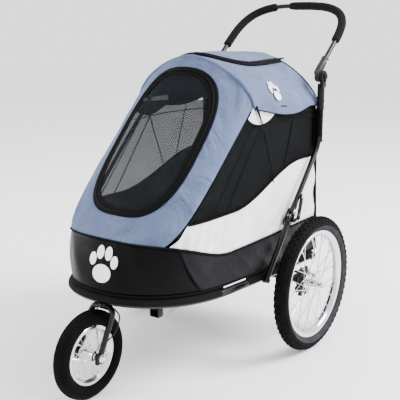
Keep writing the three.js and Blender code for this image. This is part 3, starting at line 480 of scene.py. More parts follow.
for side, flip in (("left", False), ("right", True)):
    wheel = side + "_wheel"
    bm = bmesh.new()
    tyre_body(bm, REAR_WHEEL_R - 3, 19.5, REAR_PLACE, 120, 1.08)
    knobs(bm, REAR_WHEEL_R, REAR_PLACE)
    finish_piece(side + "_trail_tyre", bm, [tread_rubber], wheel, [side + "_tyre"], flip)
    bm = bmesh.new()
    for face in (1, -1):
        band = [(160.6, face * 11), (163, face * 15.8), (168, face * 19), (175, face * 21.6), (175, face * 20.6),
                (168, face * 17), (160.6, face * 9), (160.6, face * 11)]
        lathe(bm, band, REAR_PLACE, "X", 120)
    finish_piece(side + "_tyre_wall", bm, [sidewall_rubber], wheel, mirror=flip)
    bm = bmesh.new()
    rim_ring(bm, 160, 13, 18, REAR_PLACE)
    finish_piece(side + "_wheel_rim", bm, [chrome], wheel, [side + "_rim"], flip)
    bm = bmesh.new()
    laced_hub(bm, 23, 10, 20, 6.4, 142.5, 28, REAR_PLACE)
    # Valve stem through the rim.
    tube(bm, [Vector((HALF_TRACK, 0, 200 - 148)), Vector((HALF_TRACK, 0, 200 - 122))], 3, 10)
    finish_piece(side + "_laced_hub", bm, [chrome], wheel, [side + "_spoked_hub"], flip)

FRONT_PLACE = (0, FRONT_AXLE_Y, FRONT_WHEEL_R)
bm = bmesh.new()
tyre_body(bm, FRONT_WHEEL_R, 20, FRONT_PLACE, 96, 1.1)
finish_piece("balloon_tyre", bm, [balloon_rubber], "front_wheel", ["front_tyre"])
bm = bmesh.new()
# Shallow tread grooves are drawn as five fine raised ribs round the crown.
for x in (-9, -4.5, 0, 4.5, 9):
    crown = 98 + 20 * (1 - (x / 22) ** 2) ** 0.5
    lathe(bm, [(crown - 0.8, x - 1.4), (crown + 0.5, x - 1), (crown + 0.5, x + 1), (crown - 0.8, x + 1.4),
               (crown - 0.8, x - 1.4)], FRONT_PLACE, "X", 96)
finish_piece("balloon_tread", bm, [tread_rubber], "front_wheel")
bm = bmesh.new()
rim_ring(bm, 80, 12, 15, FRONT_PLACE)
finish_piece("front_wheel_rim", bm, [chrome], "front_wheel", ["front_rim"])
bm = bmesh.new()
laced_hub(bm, 26, 8, 15, 4.4, 65.5, 20, FRONT_PLACE)
finish_piece("front_laced_hub", bm, [chrome], "front_wheel", ["front_spoked_hub"])


# ---------------------------------------------------------------- axle, quick releases and brake
# A steel axle beam is bolted under the loop. Each rear wheel turns on a plated quick-release pin
# with a domed button. The foot brake is a bar with a ribbed pedal and a pawl beside each ring.
PIN_END, BUTTON_FACE, BRAKE_Y = 333, 345, 66


def link(bm, a, b, radius, thickness, segments=20):
    """A flat link with round ends, thick along X."""
    ends = []
    for point in (a, b):
        pose = Matrix.Translation(point) @ Matrix.Rotation(radians(90), 4, "Y")
        made = bmesh.ops.create_cone(bm, cap_ends=True, segments=segments, radius1=radius, radius2=radius,
                                     depth=thickness, matrix=pose)
        ends += made["verts"]
    hull = bmesh.ops.convex_hull(bm, input=ends)
    spare = {g for g in hull["geom_interior"] + hull["geom_unused"] if isinstance(g, bmesh.types.BMVert)}
    bmesh.ops.delete(bm, geom=list(spare), context="VERTS")
    inside = [f for f in hull["geom_holes"] if isinstance(f, bmesh.types.BMFace) and f.is_valid]
    bmesh.ops.delete(bm, geom=inside, context="FACES_ONLY")


bm = bmesh.new()
lathe(bm, [(0, -268), (7.5, -268), (9, -266), (9, 266), (7.5, 268), (0, 268)], (0, 0, 200), "X")
saddle_top = loop_z(0) - TUBE_R - 1.5
for side in (1, -1):
    block(bm, (side * loop_x(0), 0, (saddle_top + 200) / 2), (26, 40, saddle_top - 200), 4)
    block(bm, (side * loop_x(0), 0, saddle_top - 1), (30, 44, 4), 1.5)
    link(bm, (side * 240, 0, 200), (side * 240, BRAKE_Y, 200), 9, 6)
finish_piece("rear_axle_beam", bm, [powder_coat], "chassis", ["axle_beam"])

bm = bmesh.new()
tube(bm, [Vector((x, BRAKE_Y, 200)) for x in (-280, 280)], 5, 20)
block(bm, (0, BRAKE_Y + 32, 200), (84, 60, 5), 1.8)
for i in range(6):
    block(bm, (0, BRAKE_Y + 14 + 8 * i, 203), (70, 3, 2.4), 0.8)
for side in (1, -1):
    tilt = Matrix.Rotation(radians(40), 4, "X")
    block(bm, Vector((side * 276, BRAKE_Y, 200)) + tilt @ Vector((0, -12, 0)), (7, 24, 5), 1.2, tilt)
finish_piece("foot_brake", bm, [black_nylon], "brake", ["brake_bar"])

for side, flip in (("left", False), ("right", True)):
    bm = bmesh.new()
    # The pin is a smooth ground shank with a black drum cover between the wheel and the beam.
    lathe(bm, [(0, 268.4), (6, 268.4), (6, PIN_END - 1), (5, PIN_END), (3, PIN_END), (3, PIN_END - 14),
               (0, PIN_END - 14)],
          (0, 0, 200), "X")
    finish_piece(side + "_release_pin", bm, [zinc_plate], "chassis", [side + "_axle_pin"], flip)
    bm = bmesh.new()
    knob = [(0, PIN_END - 8), (2.5, PIN_END - 8), (2.5, PIN_END + 3.5), (8.4, PIN_END + 3.5), (9, PIN_END + 4.2),
            (9, BUTTON_FACE - 3.2), (8.6, BUTTON_FACE - 2), (6, BUTTON_FACE - 0.2), (0, BUTTON_FACE)]
    lathe(bm, knob, (0, 0, 200), "X", 36)
    finish_piece(side + "_push_knob", bm, [chrome], side + "_release", [side + "_release_button"], flip)
    bm = bmesh.new()
    # Brake ring: a toothed nylon disc, dished outside and riveted to the hub.
    for tooth in range(8):
        angle = (tooth + 0.5) / 8 * 2 * pi
        spin = Matrix.Rotation(angle, 4, "X")
        block(bm, Vector((276, 0, 200)) + spin @ Vector((0, 41, 0)), (7, 10, 18), 1.2, spin)
    lathe(bm, [(10, 272.5), (36, 272.5), (38, 274), (38, 278), (36, 279.5), (24, 279.5), (20, 283), (12, 283.5),
               (10, 283.5),
               (10, 272.5)], (0, 0, 200), "X", 48)
    finish_piece(side + "_toothed_ring", bm, [black_nylon], side + "_wheel", [side + "_brake_ring"],
                 flip)


# ---------------------------------------------------------------- folding side braces
# Each brace is a stub on the loop and an upper tube bent into the upright post, pinned together
# between two steel plates. A moulded hook hangs on the upper tube and catches a stud on the stub.
BRACE_R = 8
FOLD_X, POST_X, POST_Y, TILT_Z = 226, 216, 184, 788
FOLD_POINT = Vector((FOLD_X, 8, 403))
HOOK_X, HOOK_Y, HOOK_Z = 238, 46, 443


def round_head(bm, place, radius, height, face):
    """A domed rivet head standing off a face that looks along X."""
    dome = [(0, 0), (radius, 0)] + [(radius * cos(t * pi / 8), 0.4 + height * sin(t * pi / 8)) for t in range(5)]
    lathe(bm, [(r, face * a) for r, a in dome], place, "X", 20)


for side, flip in (("left", False), ("right", True)):
    foot = Vector((240, -150, loop_z(-150) - 4))
    down = (foot - FOLD_POINT).normalized()
    bm = bmesh.new()
    tube(bm, [foot, FOLD_POINT + down * 24], BRACE_R, 24)
    tube(bm, [Vector((loop_x(foot.y) + TUBE_R + 0.4, foot.y, foot.z)), foot], BRACE_R, 24)
    round_head(bm, foot + Vector((6, 0, 0)), BRACE_R, 5, 1)
    tail = FOLD_POINT + down * 38
    for x in (FOLD_X - 8.5, FOLD_X + 8.5):
        link(bm, (x, tail.y, tail.z), (x, FOLD_POINT.y, FOLD_POINT.z), 10, 3, 28)
    web = FOLD_POINT + down * 24
    block(bm, (FOLD_X, web.y, web.z), (18, 12, 12), 2)
    stud = FOLD_POINT + down * 20
    tube(bm, [Vector((FOLD_X + 8.5, stud.y, stud.z)), Vector((HOOK_X + 4, stud.y, stud.z))], 3.5, 16)
    finish_piece(side + "_brace_foot", bm, [powder_coat], "chassis", [side + "_brace_stub"], flip)

    bm = bmesh.new()
    lathe(bm, [(0, FOLD_X - 13), (6, FOLD_X - 13), (7, FOLD_X - 10.5), (4, FOLD_X - 10.5), (4, FOLD_X + 10.5)],
          (0, 8, 403), "X", 24)
    round_head(bm, (FOLD_X + 10.2, 8, 403), 8, 3.6, 1)
    finish_piece(side + "_fold_rivet", bm, [chrome], "chassis", [side + "_fold_pin"], flip)

    bm = bmesh.new()
    knee = Vector((POST_X, POST_Y, 585))
    along = (knee - FOLD_POINT).normalized()
    start = FOLD_POINT + along * 18
    tube(bm, bent([start, knee, Vector((POST_X, POST_Y, TILT_Z - 62))], 40, 14), BRACE_R, 24)
    eye_end = start + along * 6
    link(bm, FOLD_POINT, (FOLD_X, eye_end.y, eye_end.z), 9, 10, 28)
    tube(bm, [Vector((FOLD_X - 2, HOOK_Y, HOOK_Z)), Vector((HOOK_X + 4, HOOK_Y, HOOK_Z))], 3.5, 16)
    finish_piece(side + "_push_tube", bm, [powder_coat], "push_frame", [side + "_side_tube"], flip)

    bm = bmesh.new()
    # The hook is moulded with a thick rim round its shank and a thumb pad at its elbow.
    elbow, toe = (HOOK_X, HOOK_Y - 18, HOOK_Z - 60), (HOOK_X, HOOK_Y - 46, HOOK_Z - 66)
    link(bm, (HOOK_X, HOOK_Y, HOOK_Z), elbow, 8, 4, 28)
    link(bm, elbow, toe, 4, 4, 16)
    block(bm, (HOOK_X + 1, HOOK_Y - 9, HOOK_Z - 30), (5, 5, 34), 1.5, Matrix.Rotation(radians(-16.7), 4, "X"))
    finish_piece(side + "_latch_hook", bm, [black_nylon], side + "_hook", [side + "_fold_hook"], flip)
    bm = bmesh.new()
    round_head(bm, (HOOK_X + 3.8, HOOK_Y, HOOK_Z), 6.5, 3, 1)
    finish_piece(side + "_hook_rivet", bm, [chrome], "push_frame", mirror=flip)


# ---------------------------------------------------------------- tilt joints
# Two moulded halves meet on the handle's tilt axis: a black cheek on the post and a dark grey
# sleeve on the handle's arm, held by a round push button.
TILT_POINT = Vector((POST_X, POST_Y, TILT_Z))
HANDLE_LEAN, HANDLE_REACH, HANDLE_HALF = radians(40), 324, 196
BOW_START, BOW_POWER, GRIP_R, ARM_R, ARM_START = 134, 3.1, 13.5, 7.5, 31

# Moulded ABS: warm dark grey, satin, with a broad soft highlight and a 2 mm moulding grain.
grey_abs, tree, shader = new_material("moulded_grey_abs", "#222025", Roughness=0.42, Specular_IOR_Level=0.2)
place = add_node(tree, "TexCoord").outputs["Object"]
grain = add_node(tree, "TexNoise", {"Vector": place, "Scale": 1000 / 2, "Detail": 2.0}).outputs["Fac"]
bump = add_node(tree, "Bump", {"Height": grain, "Distance": 0.0002, "Strength": 0.5})
tree.links.new(bump.outputs[0], shader.inputs["Normal"])
rub = add_node(tree, "TexNoise", {"Vector": place, "Scale": 1000 / 18, "Detail": 3.0}).outputs["Fac"]
shade = add_node(tree, "MixRGB", {"Fac": rub, "Color1": linear("#1B191D"), "Color2": linear("#29272C")})
tree.links.new(shade.outputs[0], shader.inputs["Base Color"])


def handle_point(x, reach):
    return Vector((x, POST_Y + reach * cos(HANDLE_LEAN), TILT_Z + reach * sin(HANDLE_LEAN)))


for side, flip in (("left", False), ("right", True)):
    bm = bmesh.new()
    sleeve = [(9, 688), (11, 688.5), (11.6, 690), (11.6, 697), (11, 699), (11, 764), (10, 766), (0, 766)]
    lathe(bm, sleeve, (POST_X, POST_Y, 0), "Z", 36)
    block(bm, (POST_X + 6.25, POST_Y, TILT_Z - 20), (11.5, 24, 28), 2.5)
    lathe(bm, [(9.6, 0.5), (18, 0.5), (18, 9.5), (17, 11.4), (15, 12), (10.4, 12), (9.6, 11), (9.6, 0.5)],
          TILT_POINT, "X", 48)
    round_head(bm, (POST_X + 10.4, POST_Y, TILT_Z - 74), 3.4, 2, 1)
    finish_piece(side + "_tilt_cheek", bm, [black_nylon], "push_frame", [side + "_tilt_base"], flip)

    bm = bmesh.new()
    lathe(bm, [(9.6, -0.2), (18, -0.2), (18, -13), (16.5, -15.4), (13, -16), (0, -16)], TILT_POINT, "X", 48)
    arm = [handle_point(HANDLE_HALF, reach) for reach in (10, 20, 40, 60, 72, 76, 78)]
    tube(bm, arm, [10, 11.5, 11.5, 11.2, 11.2, 12, 11], 28)
    block(bm, handle_point(HANDLE_HALF + 2, 30), (20, 44, 16), 5, Matrix.Rotation(HANDLE_LEAN, 4, "X"))
    finish_piece(side + "_tilt_arm", bm, [grey_abs], "handle", [side + "_tilt_sleeve"], flip)

    bm = bmesh.new()
    lathe(bm, [(0, -4), (9, -4), (9, 15.6), (8.4, 17), (7, 18), (3.4, 18), (2.8, 17.2), (0, 17.2)], TILT_POINT, "X", 40)
    finish_piece(side + "_tilt_push", bm, [black_nylon], side + "_tilt_push", [side + "_tilt_button"],
                 flip)
    bm = bmesh.new()
    # A bright rivet in the arm, just above the joint.
    spot = handle_point(HANDLE_HALF, 64)
    round_head(bm, (spot.x + 10.8, spot.y, spot.z), 3.2, 1.8, 1)
    finish_piece(side + "_arm_rivet", bm, [chrome], "handle", mirror=flip)


# ---------------------------------------------------------------- handle
# One tube bent into a wide bow and powder coated, with two ribbed foam grips pushed onto it.
# The left grip is longer, so the bare stretch is off centre.
def bow_point(angle):
    across = cos(angle)
    x = HANDLE_HALF * (1 if across > 0 else -1) * abs(across) ** (2 / BOW_POWER)
    return handle_point(x, mix(BOW_START, HANDLE_REACH, abs(sin(angle)) ** (2 / BOW_POWER)))


def bow_angle(x):
    return acos((1 if x > 0 else -1) * (abs(x) / HANDLE_HALF) ** (BOW_POWER / 2))


def handle_stretch(reach, x, steps):
    points = [handle_point(HANDLE_HALF, reach)]
    if reach < BOW_START:
        points.append(bow_point(0))
    return points + [bow_point(bow_angle(x) * i / steps) for i in range(1, steps + 1)]


bm = bmesh.new()
tube(bm, through(both_ways(handle_stretch(ARM_START, 0.001, 12)), 130), ARM_R, 24)
finish_piece("handle_bow", bm, [powder_coat], "handle", ["handle_bar"])

# Closed-cell foam: dull near-black with no gloss, open pores 1.5 mm across drawn a little coarse.
grip_foam, tree, shader = new_material("closed_cell_foam", "#0A0A0B", Roughness=0.95, Specular_IOR_Level=0.1)
place = add_node(tree, "TexCoord").outputs["Object"]
pores = add_node(tree, "TexVoronoi", {"Vector": place, "Scale": 1000 / 2.2}).outputs["Distance"]
bump = add_node(tree, "Bump", {"Height": pores, "Distance": 0.0008, "Strength": 0.7})
tree.links.new(bump.outputs[0], shader.inputs["Normal"])
shade = add_node(tree, "MixRGB", {"Fac": pores, "Color1": linear("#080809"), "Color2": linear("#151516")})
tree.links.new(shade.outputs[0], shader.inputs["Base Color"])

for side, reach, end, flip in (("left", 155, -41, False), ("right", 123, 92, True)):
    bm = bmesh.new()
    path = through(handle_stretch(reach, end, 12), 110)
    last = len(path) - 1
    radii = [GRIP_R - 2.6 * max(0, 1 - min(i, last - i) / 2) - 0.35 * (i % 3 == 0) for i in range(last + 1)]
    tube(bm, path, radii, 28)
    finish_piece(side + "_foam_grip", bm, [grip_foam], "handle", [side + "_grip"], flip)


# ---------------------------------------------------------------- sewn tub
# The lower cabin: a nose panel and two side panels of coated charcoal polyester with a nylon
# lining, sewn with black piping, and closed at the back by a plain panel.
CLOTH = 4
SEAM_FOOT_Y, SEAM_FOOT_Z, SEAM_HEAD_Y, SEAM_HEAD_Z = -514, 398, -170, 728
RIM_POWER, RIM_DEPTH = 3.3, 238


def wall_half(y, z):
    return 200 + (20 - rear_taper(y)) * (1 - smooth(z, 255, 520))


def wall_x(y, z):
    into = max(0, NOSE_MID_Y - y) / RIM_DEPTH
    return wall_half(y, z) * max(0, 1 - into**RIM_POWER) ** (1 / RIM_POWER)


def tub_rim(y):
    return 349 + 61 * smooth(-y, 290, 560)


def tub_point(station, rise, inset=0):
    """station 0 is the front, 1 the end of the nose and 2 the back corner; rise 0 is the foot."""
    side = -1 if station < 0 else 1
    station = abs(station)
    angle = min(station, 1) * pi / 2
    power = 2 / mix(2.2, RIM_POWER, rise)
    depth = mix(276, RIM_DEPTH, rise)
    y = NOSE_MID_Y - (depth - inset) * max(0, cos(angle)) ** power
    if station > 1:
        y = mix(NOSE_MID_Y, REAR_Y - 1, station - 1)
    z = mix(loop_z(y) + 19, tub_rim(y), rise)
    return Vector((side * (wall_half(y, z) - inset) * max(0, sin(angle)) ** power, y, z))


def nose_end(rise):
    return mix(0.78, 0.62, rise)


def cloth(name, high, low, crease_mm, sheen=0.3, roughness=0.85, weave_mm=2.5, relief=0.5, gloss=0.3):
    """Woven polyester: a plain weave that catches a soft sheen, slack creases, and patches that
    are a little lighter where the cloth is stretched."""
    made, tree, shader = new_material(name, high, Roughness=roughness, Sheen_Weight=sheen, Sheen_Roughness=0.3,
                                      Specular_IOR_Level=gloss)
    place = add_node(tree, "TexCoord")
    thread = 0.314 / (weave_mm / 1000)
    warp = add_node(tree, "TexWave", {"Vector": place.outputs["UV"], "Scale": thread}, bands_direction="X")
    weft = add_node(tree, "TexWave", {"Vector": place.outputs["UV"], "Scale": thread}, bands_direction="Y")
    weave = add_node(tree, "Math", {0: warp.outputs["Fac"], 1: weft.outputs["Fac"]}, operation="MULTIPLY")
    slack = add_node(tree, "TexNoise", {"Vector": place.outputs["Object"], "Scale": 1000 / crease_mm, "Detail": 3.0,
                                        "Distortion": 0.8})
    fine = add_node(tree, "Bump", {"Height": weave.outputs[0], "Distance": 0.0004, "Strength": 0.35})
    broad = add_node(tree, "Bump", {"Height": slack.outputs["Fac"], "Distance": 0.012, "Strength": relief,
                                    "Normal": fine.outputs[0]})
    tree.links.new(broad.outputs[0], shader.inputs["Normal"])
    slub = add_node(tree, "TexNoise", {"Vector": place.outputs["Object"], "Scale": 1000 / 6, "Detail": 4.0})
    blend = add_node(tree, "Math", {0: slack.outputs["Fac"], 1: slub.outputs["Fac"]}, operation="ADD")
    spread = add_node(tree, "MapRange", {"Value": blend.outputs[0], "From Min": 0.7, "From Max": 1.3})
    shade = add_node(tree, "MixRGB", {"Fac": spread.outputs[0], "Color1": linear(low), "Color2": linear(high)})
    tree.links.new(shade.outputs[0], shader.inputs["Base Color"])
    return made


def panel(bm, face, nu, nv, middle=Vector((0, -100, 480)), flat=None):
    """A sheet of cloth: a grid laid out by face(u, v), facing away from the cabin's middle.
    Its UV map runs in metres over the flat cut."""
    bmesh.ops.create_grid(bm, x_segments=nu, y_segments=nv, size=0.5, calc_uvs=True)
    shares = [(v, v.co.x + 0.5, v.co.y + 0.5) for v in bm.verts]
    layer = bm.loops.layers.uv.verify()
    width, length = flat or (1, 1)
    for f in bm.faces:
        for corner in f.loops:
            corner[layer].uv = ((corner.vert.co.x + 0.5) * width, (corner.vert.co.y + 0.5) * length)
    for v, across, along in shares:
        v.co = face(across, along)
    bm.normal_update()
    outward = sum(f.normal.dot(f.calc_center_median() - middle) * f.calc_area() for f in bm.faces)
    if outward < 0:
        bmesh.ops.reverse_faces(bm, faces=bm.faces)


def sewn(name, bm, materials, body, stands_for, mirror=False,
         thick=1.5, folds_down=False):
    """Finishes a sheet: the cloth is given its thickness.
    With folds_down, the sheet is given a mesh of its own."""
    area = sum(f.calc_area() for f in bm.faces) * 1e-6
    piece = finish_piece(name, bm, materials, body, stands_for, mirror, open_sheet=True)
    wall = piece.modifiers.new("cloth thickness", "SOLIDIFY")
    wall.thickness = thick / 1000
    wall.offset = -1
    if len(materials) > 1:
        wall.material_offset = 1
        wall.material_offset_rim = 0
    if folds_down:
        collapse(piece)
    return piece


def collapse(piece):
    """Gives the piece a mesh of its own."""
    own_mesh(piece)


charcoal_cloth = cloth("coated_charcoal_polyester", "#141317", "#0C0B0E", 90, sheen=0.04, roughness=0.4, relief=0.35,
                       gloss=0.08)
# The nose panel is the same coated charcoal cloth as the walls, drawn darker as painted shade because the front of the
# tub faces away from the key light.
nose_cloth_painted_shade = cloth("coated_charcoal_polyester_painted_shade", "#050406", "#020202", 90, sheen=0.04, roughness=0.34, relief=0.25,
                   gloss=0.06)
black_cloth = cloth("black_polyester", "#0B0B0C", "#060607", 60, sheen=0.0, gloss=0.1)
slate_lining = cloth("slate_nylon_lining", "#22272D", "#171B20", 80, sheen=0.0, gloss=0.1)

# Grosgrain binding and cord piping: black, matt, ribbed across every 2 mm.
binding_tape, tree, shader = new_material("black_grosgrain_tape", "#050506", Roughness=0.85, Specular_IOR_Level=0.08)
place = add_node(tree, "TexCoord").outputs["Object"]
ribs = add_node(tree, "TexWave", {"Vector": place, "Scale": 0.314 / 0.002}, bands_direction="DIAGONAL").outputs["Fac"]
bump = add_node(tree, "Bump", {"Height": ribs, "Distance": 0.0004, "Strength": 0.6})
tree.links.new(bump.outputs[0], shader.inputs["Normal"])
shade = add_node(tree, "MixRGB", {"Fac": ribs, "Color1": linear("#030304"), "Color2": linear("#0A0A0B")})
tree.links.new(shade.outputs[0], shader.inputs["Base Color"])


def tub_sag(point, share, rise):
    """The walls belly out between the loop and the rim, with a few slack folds."""
    belly = 3.0 * sin(pi * rise)
    fold = 1.3 * sin(17 * share + 5 * rise) * sin(pi * rise)
    outward = Vector((point.x, 0.35 * (point.y + 200) if point.y < -200 else 0, 0)).normalized()
    return point + outward * (belly + fold - 1.2)


bm = bmesh.new()
panel(bm, lambda u, v: tub_sag(tub_point((2 * u - 1) * nose_end(v), v, 0), 2 * u, v), 96, 16, flat=(0.62, 0.13))
# The nose wears the darker copy of the charcoal cloth: painted shade.
sewn("tub_front", bm, [nose_cloth_painted_shade, slate_lining], "chassis", ["tub_nose"])
for side, flip in (("left", False), ("right", True)):
    bm = bmesh.new()
    panel(bm, lambda u, v: tub_sag(tub_point(mix(nose_end(v) + 0.006, 2, u), v, 0), 3 * u, v), 110, 16,
          flat=(0.66, 0.12))
    sewn(side + "_tub_wall", bm, [charcoal_cloth, slate_lining], "chassis", [side + "_tub_side"],
         mirror=flip)
bm = bmesh.new()
back_foot = loop_z(REAR_Y) + 19
panel(bm, lambda u, v: Vector(((2 * u - 1) * (wall_half(REAR_Y, mix(back_foot, tub_rim(REAR_Y), v)) - 1),
                               REAR_Y + 3 + 1.0 * sin(9 * u) * sin(pi * v), mix(back_foot, tub_rim(REAR_Y) - 1, v))),
      40, 12, flat=(0.42, 0.11))
sewn("tub_back", bm, [charcoal_cloth, slate_lining], "chassis", ["tub_rear"])

# A black hem is wrapped round the loop under the tub, in three lengths with gaps between them.
def hem_point(station, share):
    """From the tub's foot down on to the outer side of the loop."""
    foot = tub_point(station, 0, 0)
    turn = radians(mix(100, -8, smooth(share, 0.25, 1)))
    middle = Vector((foot.x, foot.y, loop_z(foot.y)))
    outward = Vector((foot.x, 0.6 * (foot.y + 314) if foot.y < NOSE_MID_Y else 0, 0)).normalized()
    wrapped = middle + outward * 12.2 * cos(turn) + Vector((0, 0, 12.2 * sin(turn)))
    return wrapped.lerp(foot + Vector((0, 0, 2)), 1 - smooth(share, 0, 0.3))


for name, start, end in (("nose_hem", -0.72, 0.93), ("left_hem", 1.18, 1.98), ("right_hem", -1.98, -1.18)):
    bm = bmesh.new()
    panel(bm, lambda u, v: hem_point(mix(start, end, u), v), 90, 8, flat=(0.5 * (end - start), 0.04))
    hem = finish_piece(name, bm, [black_cloth], "chassis", open_sheet=True)
    hem.modifiers.new("hem thickness", "SOLIDIFY").thickness = 0.0012

# Cord piping along the tub's rim and foot, and on the slanted seams beside the nose.
bm = bmesh.new()
stations = [2 * i / 60 for i in range(61)]
rim_line = [tub_point(s, 1, -1.2) for s in reversed(stations)]
tube(bm, both_ways(rim_line), 2.6, 10)
foot_line = [tub_point(s, 0, -0.8) for s in reversed(stations)]
tube(bm, both_ways(foot_line), 2.2, 10)
for side in (1, -1):
    tube(bm, [tub_sag(tub_point(side * nose_end(i / 12), i / 12, -0.8), 0, i / 12) for i in range(13)], 2.4, 10)
finish_piece("tub_piping", bm, [binding_tape], "chassis")


# ---------------------------------------------------------------- side bands
# Pale polyester side panels above the tub, cut with a rising curve and bound in black along the
# top. They hang a little slack, so folds fan back from the front seam and up to the brace.
pale_cloth = cloth("pale_grey_polyester", "#F4F0F3", "#DAD4D9", 90, sheen=0.1, relief=0.9)


grey_lining = cloth("warm_grey_nylon_lining", "#37332F", "#2A2724", 80, sheen=0.0, gloss=0.1)


def band_rim(y):
    return 455 + 92 * smooth(y, -260, 100)


def seam_y(z):
    return mix(SEAM_FOOT_Y, SEAM_HEAD_Y, (z - SEAM_FOOT_Z) / (SEAM_HEAD_Z - SEAM_FOOT_Z))


def side_point(across, along, low, high, out=0.0):
    """A point of a side wall: across runs from the front seam to the back, along from low to high."""
    y = mix(SEAM_FOOT_Y, REAR_Y - 1, across)
    for _ in range(5):
        z = mix(low(y), high(y), along)
        y = mix(seam_y(z) + 2.5, REAR_Y - 1, across)
    return Vector((wall_x(y, z) + out, y, z))


def band_point(u, v):
    point = side_point(u, v, lambda y: tub_rim(y) + 3, band_rim)
    hem = sin(pi * min(1, max(0, v)))
    fan = 5.0 * sin(110 * u + 3.5 * v) * (1 - smooth(u, 0.2, 0.42))
    pull = 3.6 * sin(27 * (u - 0.4 * v) + 0.6) * smooth(u, 0.4, 0.7)
    return point + Vector(((fan + pull + 1.0) * hem - 0.5, 0, 0))


for side, flip in (("left", False), ("right", True)):
    bm = bmesh.new()
    panel(bm, band_point, 200, 24, flat=(0.68, 0.15))
    sewn(side + "_pale_band", bm, [pale_cloth, grey_lining], "chassis", [side + "_side_band"],
         mirror=flip)
    bm = bmesh.new()
    edge = [side_point(i / 70, 1, lambda y: tub_rim(y) + 3, band_rim, 0.6) for i in range(71)]
    tube(bm, edge, 2.6, 10)
    back = [Vector((wall_x(REAR_Y - 1, z) + 1.5, REAR_Y, z)) for z in range(int(loop_z(REAR_Y)) + 20, 548, 8)]
    tube(bm, back, 4.4, 12)
    finish_piece(side + "_band_binding", bm, [binding_tape], "chassis", mirror=flip)


# ---------------------------------------------------------------- side windows
# Black polyester mesh between the band and the canopy, with a darker sewn seam across and one
# down it, and two tucks at the front. About a third of it is open, so the far side shows light.
def net(name, high, low, open_share, hole_mm, roughness=0.75):
    """Knitted mesh: holes hole_mm apart, drawn as a soft grid in the cloth's transparency."""
    made, tree, shader = new_material(name, high, Roughness=roughness, Specular_IOR_Level=0.08)
    place = add_node(tree, "TexCoord")
    pitch = 0.314 / (hole_mm / 1000)
    rows = add_node(tree, "TexWave", {"Vector": place.outputs["UV"], "Scale": pitch}, bands_direction="X")
    files = add_node(tree, "TexWave", {"Vector": place.outputs["UV"], "Scale": pitch}, bands_direction="Y")
    holes = add_node(tree, "Math", {0: rows.outputs["Fac"], 1: files.outputs["Fac"]}, operation="MULTIPLY").outputs[0]
    solid = add_node(tree, "MapRange", {"Value": holes, "To Min": min(1, 1.06 - open_share),
                                        "To Max": 0.96 - open_share})
    tree.links.new(solid.outputs[0], shader.inputs["Alpha"])
    drift = add_node(tree, "TexNoise", {"Vector": place.outputs["Object"], "Scale": 1000 / 70,
                                        "Detail": 3.0}).outputs["Fac"]
    spread = add_node(tree, "MapRange", {"Value": drift, "From Min": 0.35, "From Max": 0.7}).outputs[0]
    shade = add_node(tree, "MixRGB", {"Fac": spread, "Color1": linear(low), "Color2": linear(high)})
    tree.links.new(shade.outputs[0], shader.inputs["Base Color"])
    bump = add_node(tree, "Bump", {"Height": drift, "Distance": 0.004, "Strength": 0.3})
    tree.links.new(bump.outputs[0], shader.inputs["Normal"])
    return made


window_net = net("dense_black_mesh", "#0A0C0E", "#040506", 0.38, 2.5)


def window_rim(y):
    return mix(716, 694, smooth(y, -170, REAR_Y))


def window_point(u, v, out=0.0):
    point = side_point(u, v, lambda y: band_rim(y) + 1, window_rim)
    ripple = 1.2 * sin(30 * u + 2 * v) * sin(pi * v) * (0.4 + 0.6 * u)
    return point + Vector((ripple - 1.5 + out, 0, 0))


for side, flip in (("left", False), ("right", True)):
    bm = bmesh.new()
    panel(bm, window_point, 90, 40, flat=(0.55, 0.24))
    sewn(side + "_mesh_window", bm, [window_net], "chassis", [side + "_side_window"],
         mirror=flip, thick=0.8, folds_down=True)
    bm = bmesh.new()
    tube(bm, [window_point(i / 40, 0.8, 0.8) for i in range(3, 40)], 1.6, 8)
    tube(bm, [window_point(0.66, i / 20, 0.8) for i in range(20)], 1.6, 8)
    for u in (0.14, 0.24):
        tube(bm, [window_point(u, i / 20, 0.4) for i in range(19)], 1.5, 8)
    tube(bm, [window_point(0.0, i / 40, 0.2) for i in range(41)], 3.2, 8)
    tube(bm, [window_point(0.992, i / 20, 1.2) for i in range(20)], 4.2, 10)
    seams = finish_piece(side + "_window_seams", bm, [binding_tape], "chassis", mirror=flip)
    collapse(seams)


# ---------------------------------------------------------------- front panel and its oval door
# The blue front of the canopy runs from the tub's rim up to the hoop round a tall oval doorway.
# The doorway holds a sheer mesh door on a coil zip, edged with wide black tape on both sides.
DOOR_LEAN = radians(52)
DOOR_MIDDLE = Vector((0, -352, 641))
DOOR_HALF_WIDTH, DOOR_HALF_HEIGHT, DOOR_POWER = 146, 234, 3

blue_cloth = cloth("blue_grey_polyester", "#5A6784", "#475370", 110, sheen=0.05, relief=1.6)


def arch_z(s, back):
    base, power, crown = mix(730, 702, back), mix(1.6, 1.5, back), mix(860, 848, back)
    return base + (crown - base) * max(0, 1 - abs(s) ** power) ** (1 / power)


def hoop_face_y(s):
    return mix(-185, SEAM_HEAD_Y, s * s)


def front_point(s, rise, out=0.0):
    """The ruled front of the canopy: s runs across it from -1 to 1, rise from the tub to the hoop."""
    z = mix(SEAM_FOOT_Z, SEAM_HEAD_Z, rise)
    foot_x = s * wall_x(SEAM_FOOT_Y, SEAM_FOOT_Z)
    bow = max(0, 1 - (abs(foot_x) / wall_half(SEAM_FOOT_Y, SEAM_FOOT_Z)) ** RIM_POWER) ** (1 / RIM_POWER)
    foot_y = NOSE_MID_Y - RIM_DEPTH * bow
    y = mix(foot_y, hoop_face_y(s), rise)
    point = Vector((s * wall_x(seam_y(z), z), y, mix(tub_rim(foot_y) + 1, arch_z(s, 0), rise)))
    return point + Vector((0, -0.8, 0.6)) * out


